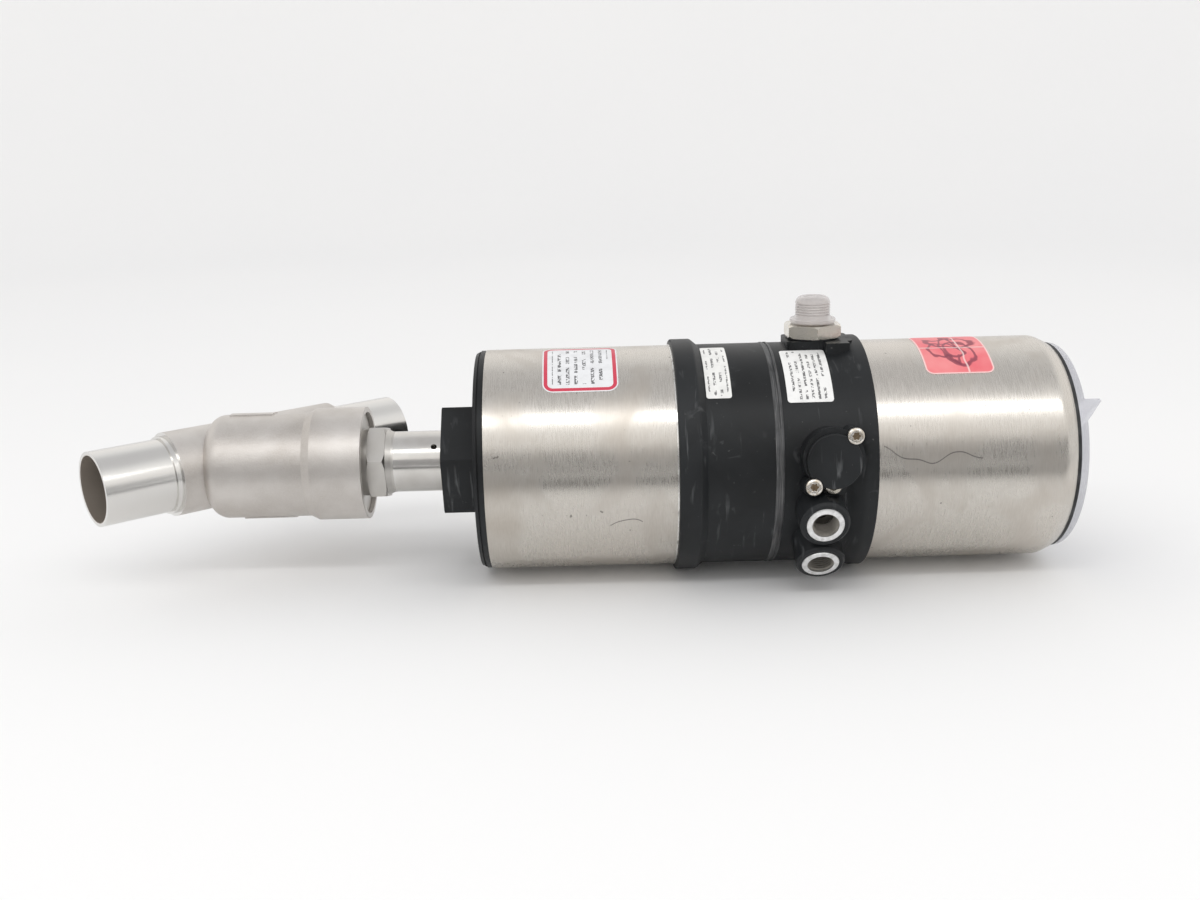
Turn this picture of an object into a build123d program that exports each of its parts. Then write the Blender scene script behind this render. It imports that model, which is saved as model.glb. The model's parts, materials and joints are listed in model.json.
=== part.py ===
from build123d import *
import math
import os

# Angle-seat control valve for a DN 25 stainless line: a Y-shaped cast body with butt-weld
# ends, a piston actuator on a stainless neck, and a positioner head with its plug connector.
# X runs along the actuator axis, away from the pipe; the pipe lies level, in the XY plane.
# "Stations" are measured along the actuator axis from the flow centre, where it meets the
# pipe axis. Directions round that axis are given in degrees up from the front (-Y) side.
# At the end every piece is moved so that the origin is the centre of the inlet end face.

# ---- driving dimensions, mm and degrees ------------------------------------------------

# pipe ends and flow body
PIPE_OD = 29.0
PIPE_WALL = 1.5
PIPE_ANGLE = 39.5             # between the pipe axis and the actuator axis
INLET_REACH = 44.5            # flow centre to the inlet end face
OUTLET_REACH = 86.0
WELD_STUB = 27.0              # machined length at each end
STUB_RING = 2.2               # machined shoulder ring behind each stub
STUB_RING_STEP = 0.8
END_BORE = 29.2               # how deep each end is bored to the pipe's inside diameter
CAST_BORE = 25.2              # the passage as cast, between the two
BRANCH_WALL = 3.6             # cast wall round the pipe bore
SHOULDER_AT = 3.4             # where the barrel starts
SHOULDER_ROUND = 6.5
BARREL_OD = 41.0
BARREL_LENGTH = 39.0
BARREL_WALL = 3.0
COLLAR_STEP = 3.3
COLLAR_OD = 44.4
COLLAR_LENGTH = 19.7
SEAT_BORE = 23.0
SEAT_RING = 2.2
SEAT_RING_HEIGHT = 1.5
WEB_AT = 9.0
WEB = 4.0
MARK_HEIGHT = 0.5             # raised blank foundry panels on the barrel

# neck nipple, with the packing inside
STEM_OD = 10.0
THREAD_OD = 36.0
THREAD_LENGTH = 13.0
NIPPLE_FLANGE = 3.4
NIPPLE_FLANGE_OD = 39.6
FLANGE_RECESS = 1.6           # how deep the flange sits below the collar rim
STEEL_HEX_AF = 27.0
STEEL_HEX = 7.0
STEEL_HEX_GAP = 1.0           # plain land between collar rim and hexagon
HEX_COLLAR = 2.1
HEX_COLLAR_OD = 26.0
NECK_OD = 24.0
NECK_LENGTH = 20.5
SHANK_OD = 21.8               # upper end, which the actuator turns on
SHANK_LENGTH = 12.0
PACKING_BORE = 16.0
PACKING_DEPTH = 20.0
NECK_BORE = 13.0
WEEP_HOLE = 2.3
WEEP_INSET = 3.6              # weep hole back from the end of the neck
WEEP_ANGLE = 41.5
GASKET = 1.0
GLAND = 3.0
PACKING_RING = 2.0
PACKING_COUNT = 5
PACKING_WIRE = 1.2
PACKING_TURNS = 4
SNAP_RING = 1.5
SNAP_RING_OD = 26.0
SNAP_GROOVE_DEPTH = 1.0
SNAP_GROOVE_END = 2.0         # from the shank's end
O_RING = 1.8
O_GROOVE = 2.4
O_GROOVE_AT = 2.2             # from the shell's end to its O-ring groove
LIP_SEAL = 3.5
LIP_SEAL_WIDTH = 3.0
LIP_NOTCH = 1.5

# plug and stem
STROKE = 12.0
PLUG_OD = 30.0
SEAL_RING = 3.0
PLUG_BACK = 9.0
CONE_TIP = 9.0
CONE_LENGTH = 9.0
STEM_SPIGOT = 8.0
STEM_PAST_NUT = 2.0
PLUG_RIM = 1.2                # holder's lip round the seal ring
PLUG_HUB_WALL = 4.5
PLUG_PIN = 3.0

# actuator
BLACK_HEX_AF = 41.0
BLACK_HEX = 14.0
BASE_RIM = 3.8
BASE_RIM_OD = 86.0
RIM_GROOVE = 0.7
SHELL_OD = 86.5
SHELL_WALL = 1.2
SHELL_LENGTH = 71.6
SPIGOT = 9.2                  # how far the base and housing reach into the shell
PISTON_BORE = 70.0
LINER_WALL = 2.9
BASE_FLOOR = 4.2
PISTON = 6.0
PISTON_SKIRT = 6.0
PISTON_WALL = 4.5
PISTON_GROOVE_AT = 3.0
PISTON_GROOVE = 5.0
PISTON_GROOVE_DEPTH = 3.0
PISTON_LIFT_OFF = 3.0         # piston clear of the floor with the valve shut
PISTON_HUB_OD = 20.0
PISTON_HUB = 16.0
NUT_AF = 13.0
NUT_HEIGHT = 6.5
MAIN_WIRE = 4.5
MAIN_MEAN = 54.0
MAIN_TURNS = 6
INNER_WIRE = 3.2
INNER_MEAN = 34.0
INNER_TURNS = 7
BULKHEAD = 6.0
BULKHEAD_AT_SPIGOT = 1.6      # bulkhead starts this far past the end of the shell
HOUSING_COLLAR_OD = 91.0
HOUSING_COLLAR = 7.9
HOUSING_TAPER = 2.7
HOUSING_LENGTH = 24.7         # plain black cylinder right of the taper
HOUSING_WALL = 4.0
EDGE_RING = 0.6
SEAM = 3.2
SEAM_GROOVE = 0.5

# travel feedback
ROD_OD = 6.0
ROD_GUIDE_OD = 16.0
ROD_GUIDE = 8.0
ROD_BUSH_WALL = 2.5
ROD_SEAL = 4.0
MAGNET_OD = 10.0
MAGNET = 6.0
MAGNET_RISE = 20.0            # magnet's top above the head's floor, valve shut
SENSOR_BORE = 10.8
SENSOR_WALL = 1.6

# positioner base
BASE_LENGTH = 34.1
BASE_FLANGE_OD = 91.0
BASE_FLANGE = 4.5
BASE_FLARE = 6.5
BASE_WALL = 4.2
BASE_WEB = 4.0
BASE_LIP = 4.0

# air ports: G 1/8 inserts in round bosses
PORT_MINOR = 8.566
PORT_DEPTH = 9.0
PORT_RING_OD = 13.8
PORT_PROUD = 0.4
PORT_BOSS_OD = 18.2
PORT_REACH = 55.2             # actuator axis to the boss face
PORT_SETBACK = 20.9           # port axes, back from the flange face
PORT_ANGLES = (-14.6, -34.7)

# relief cover, its screws and the vent plug
COVER_OD = 20.0
COVER = 1.5
COVER_REACH = 52.0
COVER_SETBACK = 17.6
COVER_ANGLE = 10.1
COVER_BOSS_OD = 22.4
COVER_BOSS_LIFT = 1.0
COVER_SCREW_OFFSET = (7.6, 9.0)   # along the axis and round it, one screw each way
SCREW_BOSS_OD = 7.0
PAN_HEAD_OD = 6.2
PAN_HEAD = 2.2
SCREW_OD = 3.0
SCREW_LENGTH = 9.0
TORX = 2.6
VENT_OD = 6.8
VENT_HOLE = 3.4
VENT_REACH = 46.6
VENT_WELL = 0.7
VENT_SETBACK = 17.0
VENT_ANGLE = -1.7

# plug connector
PLUG_SETBACK = 17.3
PLUG_ANGLE = 90.0
PLATFORM = (25.0, 19.0)       # along the axis, and across it
PLATFORM_REACH = 45.3
LEDGE_SETBACKS = (14.4, 5.6)
LEDGE_DEPTH = 5.0
LEDGE_DROPS = (5.8, 3.0)
PLUG_GASKET = 0.7
PLUG_GASKET_OD = 18.6
PLUG_NUT_AF = 20.0
PLUG_NUT = 5.0
PLUG_THREAD_OD = 12.0
PLUG_THREAD_REACH = 59.8
PLUG_CAVITY = 8.6
PLUG_CAVITY_DEPTH = 8.0
CONTACT_OD = 1.0
CONTACT_RING = 4.6
CONTACT_COUNT = 4
DUST_CAP_OD = 13.7
DUST_CAP_FLANGE_OD = 17.5
DUST_CAP_FLANGE = 2.0
DUST_CAP_REACH = 61.6

# positioner head
HEAD_LENGTH = 73.9
HEAD_RIM_OD = 81.0
HEAD_SHOULDER = 5.0
BAYONET_BORE = 76.4
BAYONET_DEPTH = 13.0
BAYONET_TAB = 1.0             # radial height of the cap's three tabs
BAYONET_RING_INSET = 0.4      # the ring is that much smaller in radius than the shell's rim
BAYONET_TAB_LENGTH = 2.4
BAYONET_TAB_SWEEP = 24.0
BAYONET_COUNT = 3
BAYONET_TURN = 35.0
CAP_SEAL = 1.4
CAP_LENGTH = 3.5
CAP_OD = 80.4
CAP_WALL = 2.6
CAP_SKIRT = 8.0
FIN_BASE_ANGLES = (27.5, 39.0)
FIN_REACH = 5.6
FIN_WIDTH = 11.0
BOARD = 1.6
BOARD_OD = 74.0
BOARD_AT = 14.0               # from the base's lip
KEYPAD_DEPTH = 16.0           # cap face down to the keypad face
KEYPAD = 5.0
KEYPAD_OD = 74.0
DISPLAY = (30.0, 17.0)
DISPLAY_THICKNESS = 4.0
DISPLAY_OFFSET = 10.0
KEY_OD = 7.0
KEY_PROUD = 2.2
KEY_FLANGE = 1.0
KEY_SPACING = 13.0
KEY_ROW_OFFSET = -15.0
KEY_COUNT = 4
KEY_POCKET_AT = 2.0           # below the keypad face, where the keys' flanges sit
KEY_RIM = 0.8                 # flange beyond the key's edge

# pilot valves and screws inside the housing
PILOT_BLOCK = (20.0, 22.0, 16.0)
PILOT_REACH = 24.0
SCREW_CIRCLE = 66.0
HOUSING_SCREW_OD = 4.0
HOUSING_SCREW_HEAD_OD = 7.0
HOUSING_SCREW_HEAD = 3.0
HOUSING_SCREW_LENGTH = 16.0
HOUSING_SCREW_ANGLES = (60.0, 180.0, 240.0)

# labels
LABEL = 0.15
LABEL_SPANS = {
    "warning_label": (-49.4, 28.3, 48.5, 90.0),
    "strip_label": (-24.3, 9.4, 42.5, 84.0),
    "rating_label": (-31.9, 17.0, 39.0, 76.5),
    "sticker": (21.0, 25.5, 53.5, 97.0),
}

# fits and clearances
RUNNING = 0.05                # radial, a shaft or piston in its guide
LOOSE = 0.10                  # radial, the actuator on its neck
AIR = 0.3                     # between pieces that move past each other
FIT = 0.02                    # between pieces of one body that are pushed together
SEAT_GAP = 0.02               # plug seal off the seat ring, so that the faces only meet

# ---- stations worked out from them -----------------------------------------------------

pipe_radius = PIPE_OD / 2
bore_radius = pipe_radius - PIPE_WALL
branch_radius = bore_radius + BRANCH_WALL
stem_radius = STEM_OD / 2
shell_radius = SHELL_OD / 2
shell_bore = shell_radius - SHELL_WALL

collar_start = SHOULDER_AT + BARREL_LENGTH + COLLAR_STEP
rim = collar_start + COLLAR_LENGTH
web_end = WEB_AT + WEB
seat_face = web_end + SEAT_RING_HEIGHT
flange_end = rim - FLANGE_RECESS
flange_start = flange_end - NIPPLE_FLANGE
thread_start = flange_start - THREAD_LENGTH
hex_start = rim + STEEL_HEX_GAP
hex_end = hex_start + STEEL_HEX
neck_start = hex_end + HEX_COLLAR
neck_end = neck_start + NECK_LENGTH
shank_end = neck_end + SHANK_LENGTH
packing_end = thread_start + PACKING_DEPTH

base_start = neck_end
base_hex_end = base_start + BLACK_HEX
shell_start = base_hex_end + BASE_RIM
chamber_floor = shell_start + BASE_FLOOR
shell_end = shell_start + SHELL_LENGTH
piston_start = chamber_floor + PISTON_LIFT_OFF
piston_end = piston_start + PISTON
hub_end = piston_start + PISTON_HUB
nut_end = hub_end + NUT_HEIGHT
bulkhead_start = shell_end + BULKHEAD_AT_SPIGOT
bulkhead_end = bulkhead_start + BULKHEAD
collar_end = shell_end + HOUSING_COLLAR
taper_end = collar_end + HOUSING_TAPER
housing_end = taper_end + HOUSING_LENGTH
head_base_start = housing_end + SEAM
head_base_end = head_base_start + BASE_LENGTH
head_floor = head_base_start + BASE_WEB
head_lip_end = head_base_end + BASE_LIP
head_end = head_base_end + HEAD_LENGTH
cap_start = head_end + CAP_SEAL
cap_end = cap_start + CAP_LENGTH
keypad_face = cap_start - KEYPAD_DEPTH
magnet_end = head_floor + MAGNET_RISE
magnet_start = magnet_end - MAGNET

liner_bore = PISTON_BORE / 2
liner_radius = liner_bore + LINER_WALL
spigot_radius = shell_bore - LOOSE

inlet_centre = Vector(
    -INLET_REACH * math.cos(math.radians(PIPE_ANGLE)),
    -INLET_REACH * math.sin(math.radians(PIPE_ANGLE)),
    0,
)


# ---- ways of making shapes -------------------------------------------------------------

def turned(outline, rounds=()):
    """Turn a (station, radius) outline about the axis; rounds are (station, radius, fillet)."""
    face = make_face(Polyline(*outline, close=True))
    for station, radius, size in rounds:
        corner = face.vertices().sort_by_distance((station, radius, 0))[0]
        face = fillet(corner, size)
    return revolve(face, Axis.X)


def ring(inner, outer, start, end, rounds=()):
    return turned([(start, inner), (start, outer), (end, outer), (end, inner)], rounds)


def rod(radius, start, end, rounds=()):
    return turned([(start, 0), (start, radius), (end, radius), (end, 0)], rounds)


def hexagon(across_flats, start, end, corner_angle=0.0, chamfer_radius=None):
    """A hexagon on the axis with a corner towards corner_angle, its ends turned to a chamfer."""
    corner = across_flats / math.sqrt(3)
    prism = extrude(Plane.YZ * RegularPolygon(corner, 6), end - start)
    prism = Pos(start, 0, 0) * Rot(-corner_angle, 0, 0) * prism
    if chamfer_radius is None:
        return prism
    drop = (corner - chamfer_radius) * math.tan(math.radians(30))
    envelope = turned([
        (start, 0), (start, chamfer_radius), (start + drop, corner),
        (end - drop, corner), (end, chamfer_radius), (end, 0),
    ])
    return prism & envelope


def toward(station, angle, reach=0.0):
    """Where a radial feature stands: its own Z points out of the axis at that angle."""
    return Pos(station, 0, 0) * Rot(90 - angle, 0, 0) * Pos(0, 0, reach)


def post(radius, low, high):
    """A round boss between two distances from the axis, to be placed with toward()."""
    return Pos(0, 0, (low + high) / 2) * Cylinder(radius, high - low)


def along_pipe(start, end, radius):
    """A round bar along the pipe axis, between two distances from the flow centre."""
    place = Rot(0, 0, PIPE_ANGLE) * Pos((start + end) / 2, 0, 0) * Rot(0, 90, 0)
    return place * Cylinder(radius, end - start)


def slab(start, end, reach=200.0):
    return Pos((start + end) / 2, 0, 0) * Box(end - start, reach, reach)


def coil(mean_diameter, wire, start, end, turns, left_hand=False):
    """A round-wire compression spring between two stations."""
    gap = wire * 0.55
    height = end - start - 2 * gap
    path = Helix(height / turns, height, mean_diameter / 2, center=(start + gap, 0, 0),
                 direction=(1, 0, 0), lefthand=left_hand)
    section = Plane(origin=path @ 0, z_dir=path % 0) * Circle(wire / 2)
    return sweep(section, path=path, is_frenet=True)


def o_ring(mean_radius, section, station):
    circle = Plane.XY * Pos(station, mean_radius) * Circle(section / 2)
    return revolve(circle, Axis.X)


# ---- flow body and neck: the pieces that stay with the pipe -----------------------------

def valve_body():
    """One casting: barrel and collar, two branches along the pipe axis, and the seat web."""
    barrel_radius = BARREL_OD / 2
    collar_radius = COLLAR_OD / 2
    step_start = SHOULDER_AT + BARREL_LENGTH
    body = turned(
        [
            (SHOULDER_AT, 0), (SHOULDER_AT, barrel_radius), (step_start, barrel_radius),
            (collar_start, collar_radius), (rim, collar_radius), (rim, 0),
        ],
        rounds=[(SHOULDER_AT, barrel_radius, SHOULDER_ROUND), (rim, collar_radius, 0.4)],
    )
    ring_radius = pipe_radius + STUB_RING_STEP
    stub_in = INLET_REACH - WELD_STUB
    stub_out = OUTLET_REACH - WELD_STUB
    body += along_pipe(-(stub_in - STUB_RING), stub_out - STUB_RING, branch_radius)
    body += along_pipe(-stub_in, stub_out, ring_radius)
    body += along_pipe(-INLET_REACH, OUTLET_REACH, pipe_radius)
    for angle, start, length in ((100.0, 12.0, 17.0), (-80.0, 16.0, 20.0)):
        panel = ring(barrel_radius - 1, barrel_radius + MARK_HEIGHT, start, start + length)
        body += panel & toward(start, angle) * Pos(length / 2, 0, 20) * Box(length, 9, 40)
    # flow passages: the pipe bore on both sides of the seat web, and the barrel bore
    bored_in = -INLET_REACH + END_BORE
    bored_out = OUTLET_REACH - END_BORE
    body -= along_pipe(bored_in - 1, bored_out + 1, CAST_BORE / 2) - slab(WEB_AT, web_end)
    body -= along_pipe(-INLET_REACH - 1, bored_in, bore_radius)
    body -= along_pipe(bored_out, OUTLET_REACH + 1, bore_radius)
    body -= rod(SEAT_BORE / 2, SHOULDER_AT + 1, web_end + 1)
    body -= rod(barrel_radius - BARREL_WALL, web_end, thread_start - GASKET)
    body -= rod(THREAD_OD / 2, thread_start - GASKET, flange_start)
    body -= rod(NIPPLE_FLANGE_OD / 2 + AIR, flange_start, rim + 1)
    seat = ring(SEAT_BORE / 2, SEAT_BORE / 2 + SEAT_RING, web_end - 1, seat_face,
                rounds=[(seat_face, SEAT_BORE / 2 + SEAT_RING, 0.5)])
    return body + seat


def body_gasket():
    return ring(THREAD_OD / 2 - 3.5, THREAD_OD / 2 - FIT, thread_start - GASKET, thread_start)


def nipple():
    """Turned neck: thread, flange, hexagon, plain neck and the shank the actuator turns on."""
    groove = SNAP_RING + 2 * FIT
    groove_end = shank_end - SNAP_GROOVE_END
    groove_radius = SHANK_OD / 2 - SNAP_GROOVE_DEPTH
    neck = turned(
        [
            (thread_start, PACKING_BORE / 2), (thread_start, THREAD_OD / 2 - FIT),
            (flange_start, THREAD_OD / 2 - FIT), (flange_start, NIPPLE_FLANGE_OD / 2),
            (flange_end, NIPPLE_FLANGE_OD / 2), (flange_end, STEEL_HEX_AF / 2 - 0.4),
            (hex_start, STEEL_HEX_AF / 2 - 0.4), (hex_end, STEEL_HEX_AF / 2 - 0.4),
            (hex_end, HEX_COLLAR_OD / 2), (neck_start, NECK_OD / 2),
            (neck_end - AIR, NECK_OD / 2), (neck_end - AIR, SHANK_OD / 2),
            (groove_end - groove, SHANK_OD / 2), (groove_end - groove, groove_radius),
            (groove_end, groove_radius), (groove_end, SHANK_OD / 2),
            (shank_end, SHANK_OD / 2), (shank_end, NECK_BORE / 2),
            (packing_end, NECK_BORE / 2), (packing_end, PACKING_BORE / 2),
        ]
    )
    spanner = hexagon(STEEL_HEX_AF, hex_start, hex_end, corner_angle=15.0,
                      chamfer_radius=STEEL_HEX_AF / 2 + 0.7)
    neck += spanner - rod(STEEL_HEX_AF / 2 - 1.0, hex_start - 1, hex_end + 1)
    weep = toward(neck_end - WEEP_INSET, WEEP_ANGLE) * post(WEEP_HOLE / 2, 0, NECK_OD)
    return neck - weep


def gland():
    """Threaded bottom bush that holds the packing in and guides the stem."""
    return ring(stem_radius + RUNNING, PACKING_BORE / 2 - FIT, thread_start, thread_start + GLAND)


def packing_rings():
    """Stack of chevron rings, each a separate solid."""
    rings = []
    inner = stem_radius + RUNNING
    outer = PACKING_BORE / 2 - FIT
    middle = (inner + outer) / 2
    rise = 0.6
    for number in range(PACKING_COUNT):
        start = thread_start + GLAND + FIT + number * (PACKING_RING + FIT)
        end = start + PACKING_RING
        outline = [
            (start, inner), (start + rise, middle), (start, outer),
            (end - rise, outer), (end, middle), (end - rise, inner),
        ]
        rings.append(turned(outline))
    return rings


def packing_spring():
    stack = PACKING_COUNT * (PACKING_RING + FIT)
    start = thread_start + GLAND + stack + FIT
    mean = stem_radius + PACKING_BORE / 2
    return coil(mean, PACKING_WIRE, start, packing_end, PACKING_TURNS)


def snap_ring():
    """Ring in the shank's groove that keeps the actuator on its neck."""
    end = shank_end - SNAP_GROOVE_END - FIT
    return ring(SHANK_OD / 2 - SNAP_GROOVE_DEPTH + FIT, SNAP_RING_OD / 2, end - SNAP_RING, end)


# ---- stem, plug and piston: the pieces that lift together --------------------------------

plug_face = seat_face + SEAT_GAP
holder_start = plug_face + SEAL_RING
holder_end = holder_start + PLUG_BACK
spigot_start = plug_face - 1.0
stem_end = nut_end + STEM_PAST_NUT
pin_station = holder_start + PLUG_BACK * 0.6


def stem():
    """Ground stem: threaded spigot for the plug cone, and a shoulder and thread for the piston."""
    shaft = turned([
        (spigot_start, 0), (spigot_start, STEM_SPIGOT / 2), (holder_start, STEM_SPIGOT / 2),
        (holder_start, stem_radius), (piston_start, stem_radius),
        (piston_start, STEM_SPIGOT / 2), (stem_end, STEM_SPIGOT / 2), (stem_end, 0),
    ])
    shaft -= Pos(pin_station, 0, 0) * Cylinder(PLUG_PIN / 2 + FIT, STEM_OD * 2)
    shaft -= rod(ROD_OD / 4 + FIT, nut_end - 4, stem_end + 1)
    return shaft


def plug_cone():
    """Regulating cone below the seat; its flange clamps the seal ring."""
    guide = SEAT_BORE / 2 - AIR
    return turned([
        (plug_face - CONE_LENGTH, 0), (plug_face - CONE_LENGTH, CONE_TIP),
        (plug_face - 2.5, guide), (plug_face, guide), (plug_face, STEM_SPIGOT / 2 + FIT),
        (spigot_start - 1, STEM_SPIGOT / 2 + FIT), (spigot_start - 1, 0),
    ], rounds=[(plug_face - CONE_LENGTH, CONE_TIP, 2.0)])


def plug_seal():
    return ring(STEM_SPIGOT / 2 + FIT, PLUG_OD / 2 - PLUG_RIM, plug_face, holder_start - FIT)


def plug_holder():
    """Backs the seal ring and is pinned to the stem."""
    hub = stem_radius + PLUG_HUB_WALL
    seal_radius = PLUG_OD / 2 - PLUG_RIM + FIT
    lip = holder_start - SEAL_RING * 0.6
    disc_end = holder_start + PLUG_BACK / 2
    holder = turned([
        (lip, seal_radius), (lip, PLUG_OD / 2), (disc_end - 1, PLUG_OD / 2), (disc_end, hub),
        (holder_end, hub), (holder_end, stem_radius + FIT), (holder_start, stem_radius + FIT),
        (holder_start, seal_radius),
    ])
    return holder - Pos(pin_station, 0, 0) * Cylinder(PLUG_PIN / 2 + FIT, 2 * hub + 2)


def plug_pin():
    hub = stem_radius + PLUG_HUB_WALL
    return Pos(pin_station, 0, 0) * Cylinder(PLUG_PIN / 2, 2 * hub - 1)


def piston():
    """Cup-shaped piston with a grooved rim and a hub that takes the stem nut."""
    outer = liner_bore - AIR
    inside = outer - PISTON_WALL
    groove_start = piston_start + PISTON_GROOVE_AT
    groove_end = groove_start + PISTON_GROOVE
    groove_radius = outer - PISTON_GROOVE_DEPTH
    skirt_end = piston_end + PISTON_SKIRT
    return turned([
        (piston_start, STEM_SPIGOT / 2 + FIT), (piston_start, outer), (groove_start, outer),
        (groove_start, groove_radius), (groove_end, groove_radius), (groove_end, outer),
        (skirt_end, outer), (skirt_end, inside), (piston_end, inside),
        (piston_end, PISTON_HUB_OD / 2),
        (hub_end, PISTON_HUB_OD / 2), (hub_end, STEM_SPIGOT / 2 + FIT),
    ])


def piston_seal():
    outer = liner_bore - RUNNING
    start = piston_start + PISTON_GROOVE_AT + FIT
    end = start + PISTON_GROOVE - 2 * FIT
    base = liner_bore - AIR - PISTON_GROOVE_DEPTH + FIT
    waist = (start + end) / 2
    return turned([
        (start, base), (start, outer), (waist - 0.5, outer - 1.0), (waist + 0.5, outer - 1.0),
        (end, outer), (end, base),
    ])


def piston_nut():
    nut = hexagon(NUT_AF, hub_end, nut_end, chamfer_radius=NUT_AF / 2 + 0.3)
    return nut - rod(STEM_SPIGOT / 2 + FIT, hub_end - 1, nut_end + 1)


def feedback_rod():
    """Slim rod screwed into the stem's end; it carries the magnet up to the travel sensor."""
    shoulder = stem_end + FIT
    return turned([
        (nut_end - 3, 0), (nut_end - 3, ROD_OD / 4), (shoulder, ROD_OD / 4),
        (shoulder, ROD_OD / 2), (magnet_start, ROD_OD / 2), (magnet_start, 0),
    ])


def feedback_magnet():
    return rod(MAGNET_OD / 2, magnet_start + FIT, magnet_end,
               rounds=[(magnet_end, MAGNET_OD / 2, 0.5)])


# ---- actuator ----------------------------------------------------------------------------

def actuator_base():
    """Moulded base: spanner hexagon, rim, and the spigot that carries shell and liner."""
    rim_radius = BASE_RIM_OD / 2
    pocket = SNAP_RING_OD / 2 + AIR
    pocket_start = shank_end - SNAP_GROOVE_END - SNAP_RING - 2 * FIT - AIR
    spigot_end = shell_start + SPIGOT
    o_groove = shell_start + O_GROOVE_AT
    lip = rim_radius - 0.4
    groove_start = base_hex_end + BASE_RIM / 3
    groove_end = base_hex_end + BASE_RIM / 2
    base = turned([
        (base_start, SHANK_OD / 2 + LOOSE), (base_start, BLACK_HEX_AF / 2 - 1.0),
        (base_hex_end, BLACK_HEX_AF / 2 - 1.0), (base_hex_end, rim_radius - 1.0),
        (groove_start, lip), (groove_start, lip - RIM_GROOVE), (groove_end, lip - RIM_GROOVE),
        (groove_end, rim_radius),
        (shell_start, rim_radius), (shell_start, spigot_radius), (o_groove, spigot_radius),
        (o_groove, spigot_radius - O_RING), (o_groove + O_GROOVE, spigot_radius - O_RING),
        (o_groove + O_GROOVE, spigot_radius), (spigot_end, spigot_radius),
        (spigot_end, liner_radius + FIT), (chamber_floor, liner_radius + FIT),
        (chamber_floor, pocket), (pocket_start, pocket),
        (pocket_start, SHANK_OD / 2 + LOOSE),
    ])
    spanner = hexagon(BLACK_HEX_AF, base_start, base_hex_end, corner_angle=15.0,
                      chamfer_radius=BLACK_HEX_AF / 2 + 2.6)
    tail = spanner & slab(base_hex_end - 2, base_hex_end)
    square_end = hexagon(BLACK_HEX_AF, base_hex_end - 2, base_hex_end, corner_angle=15.0)
    spanner = spanner - tail + square_end
    return base + (spanner - rod(BLACK_HEX_AF / 2 - 2.0, base_start - 1, base_hex_end + 1))


def stem_bush():
    """Guide bush that closes the base round the stem, with a pocket for the lip seal."""
    start = shank_end + AIR
    pocket = SNAP_RING_OD / 2 + AIR - FIT
    seal_start = chamber_floor - LIP_SEAL
    seal_radius = stem_radius + LIP_SEAL_WIDTH
    return turned([
        (start, stem_radius + RUNNING), (start, pocket), (chamber_floor, pocket),
        (chamber_floor, seal_radius), (seal_start, seal_radius),
        (seal_start, stem_radius + RUNNING),
    ])


def stem_seal():
    start = chamber_floor - LIP_SEAL + FIT
    inner = stem_radius + RUNNING
    outer = stem_radius + LIP_SEAL_WIDTH - FIT
    middle = (inner + outer) / 2
    end = chamber_floor - FIT
    return turned([
        (start, inner), (start, outer), (end, outer), (end - LIP_NOTCH, middle), (end, inner),
    ])


def cylinder_liner():
    return ring(liner_bore, liner_radius, chamber_floor + FIT, bulkhead_start - FIT)


def actuator_shell():
    return ring(shell_bore, shell_radius, shell_start + FIT, shell_end - EDGE_RING - FIT)


def shell_o_rings():
    mean = spigot_radius - O_RING / 2 + FIT
    near = shell_start + O_GROOVE_AT + O_GROOVE / 2
    far = shell_end - O_GROOVE_AT - O_GROOVE / 2
    return [o_ring(mean, O_RING - FIT, near), o_ring(mean, O_RING - FIT, far)]


def edge_ring():
    """Bright ring between the shell's end and the housing collar."""
    return ring(shell_bore, shell_radius + 0.35, shell_end - EDGE_RING, shell_end - FIT)


def main_spring():
    return coil(MAIN_MEAN, MAIN_WIRE, piston_end, bulkhead_start, MAIN_TURNS)


def inner_spring():
    return coil(INNER_MEAN, INNER_WIRE, piston_end, bulkhead_start, INNER_TURNS, left_hand=True)


def screw_places(reach):
    return [toward(0, angle, reach) for angle in HOUSING_SCREW_ANGLES]


def actuator_housing():
    """Upper cylinder cover: collar, bulkhead that takes the springs, and valve chamber."""
    collar_radius = HOUSING_COLLAR_OD / 2
    chamber = shell_radius - HOUSING_WALL
    guide = ROD_GUIDE_OD / 2
    guide_end = bulkhead_end + ROD_GUIDE
    bush_radius = ROD_OD / 2 + ROD_BUSH_WALL
    spigot_start = shell_end - SPIGOT
    o_groove = shell_end - O_GROOVE_AT - O_GROOVE
    housing = turned(
        [
            (spigot_start, liner_radius + FIT), (spigot_start, spigot_radius),
            (o_groove, spigot_radius), (o_groove, spigot_radius - O_RING),
            (o_groove + O_GROOVE, spigot_radius - O_RING),
            (o_groove + O_GROOVE, spigot_radius), (shell_end, spigot_radius),
            (shell_end, collar_radius), (collar_end, collar_radius),
            (taper_end, shell_radius), (housing_end, shell_radius), (housing_end, chamber),
            (bulkhead_end, chamber), (bulkhead_end, guide), (guide_end, guide),
            (guide_end, bush_radius), (bulkhead_start, bush_radius),
            (bulkhead_start, liner_radius + FIT),
        ],
        rounds=[(shell_end, collar_radius, 0.8), (collar_end, collar_radius, 1.5)],
    )
    for angle in HOUSING_SCREW_ANGLES:
        boss = Rot(90 - angle, 0, 0) * Pos(0, 0, SCREW_CIRCLE / 2) * Rot(0, 90, 0)
        length = housing_end - bulkhead_end + 1
        middle = housing_end - length / 2
        housing += Pos(middle, 0, 0) * boss * Cylinder(HOUSING_SCREW_OD / 2 + 2.5, length)
        housing -= Pos(housing_end, 0, 0) * boss * Cylinder(HOUSING_SCREW_OD / 2 + FIT,
                                                            2 * HOUSING_SCREW_LENGTH)
    return housing


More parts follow.
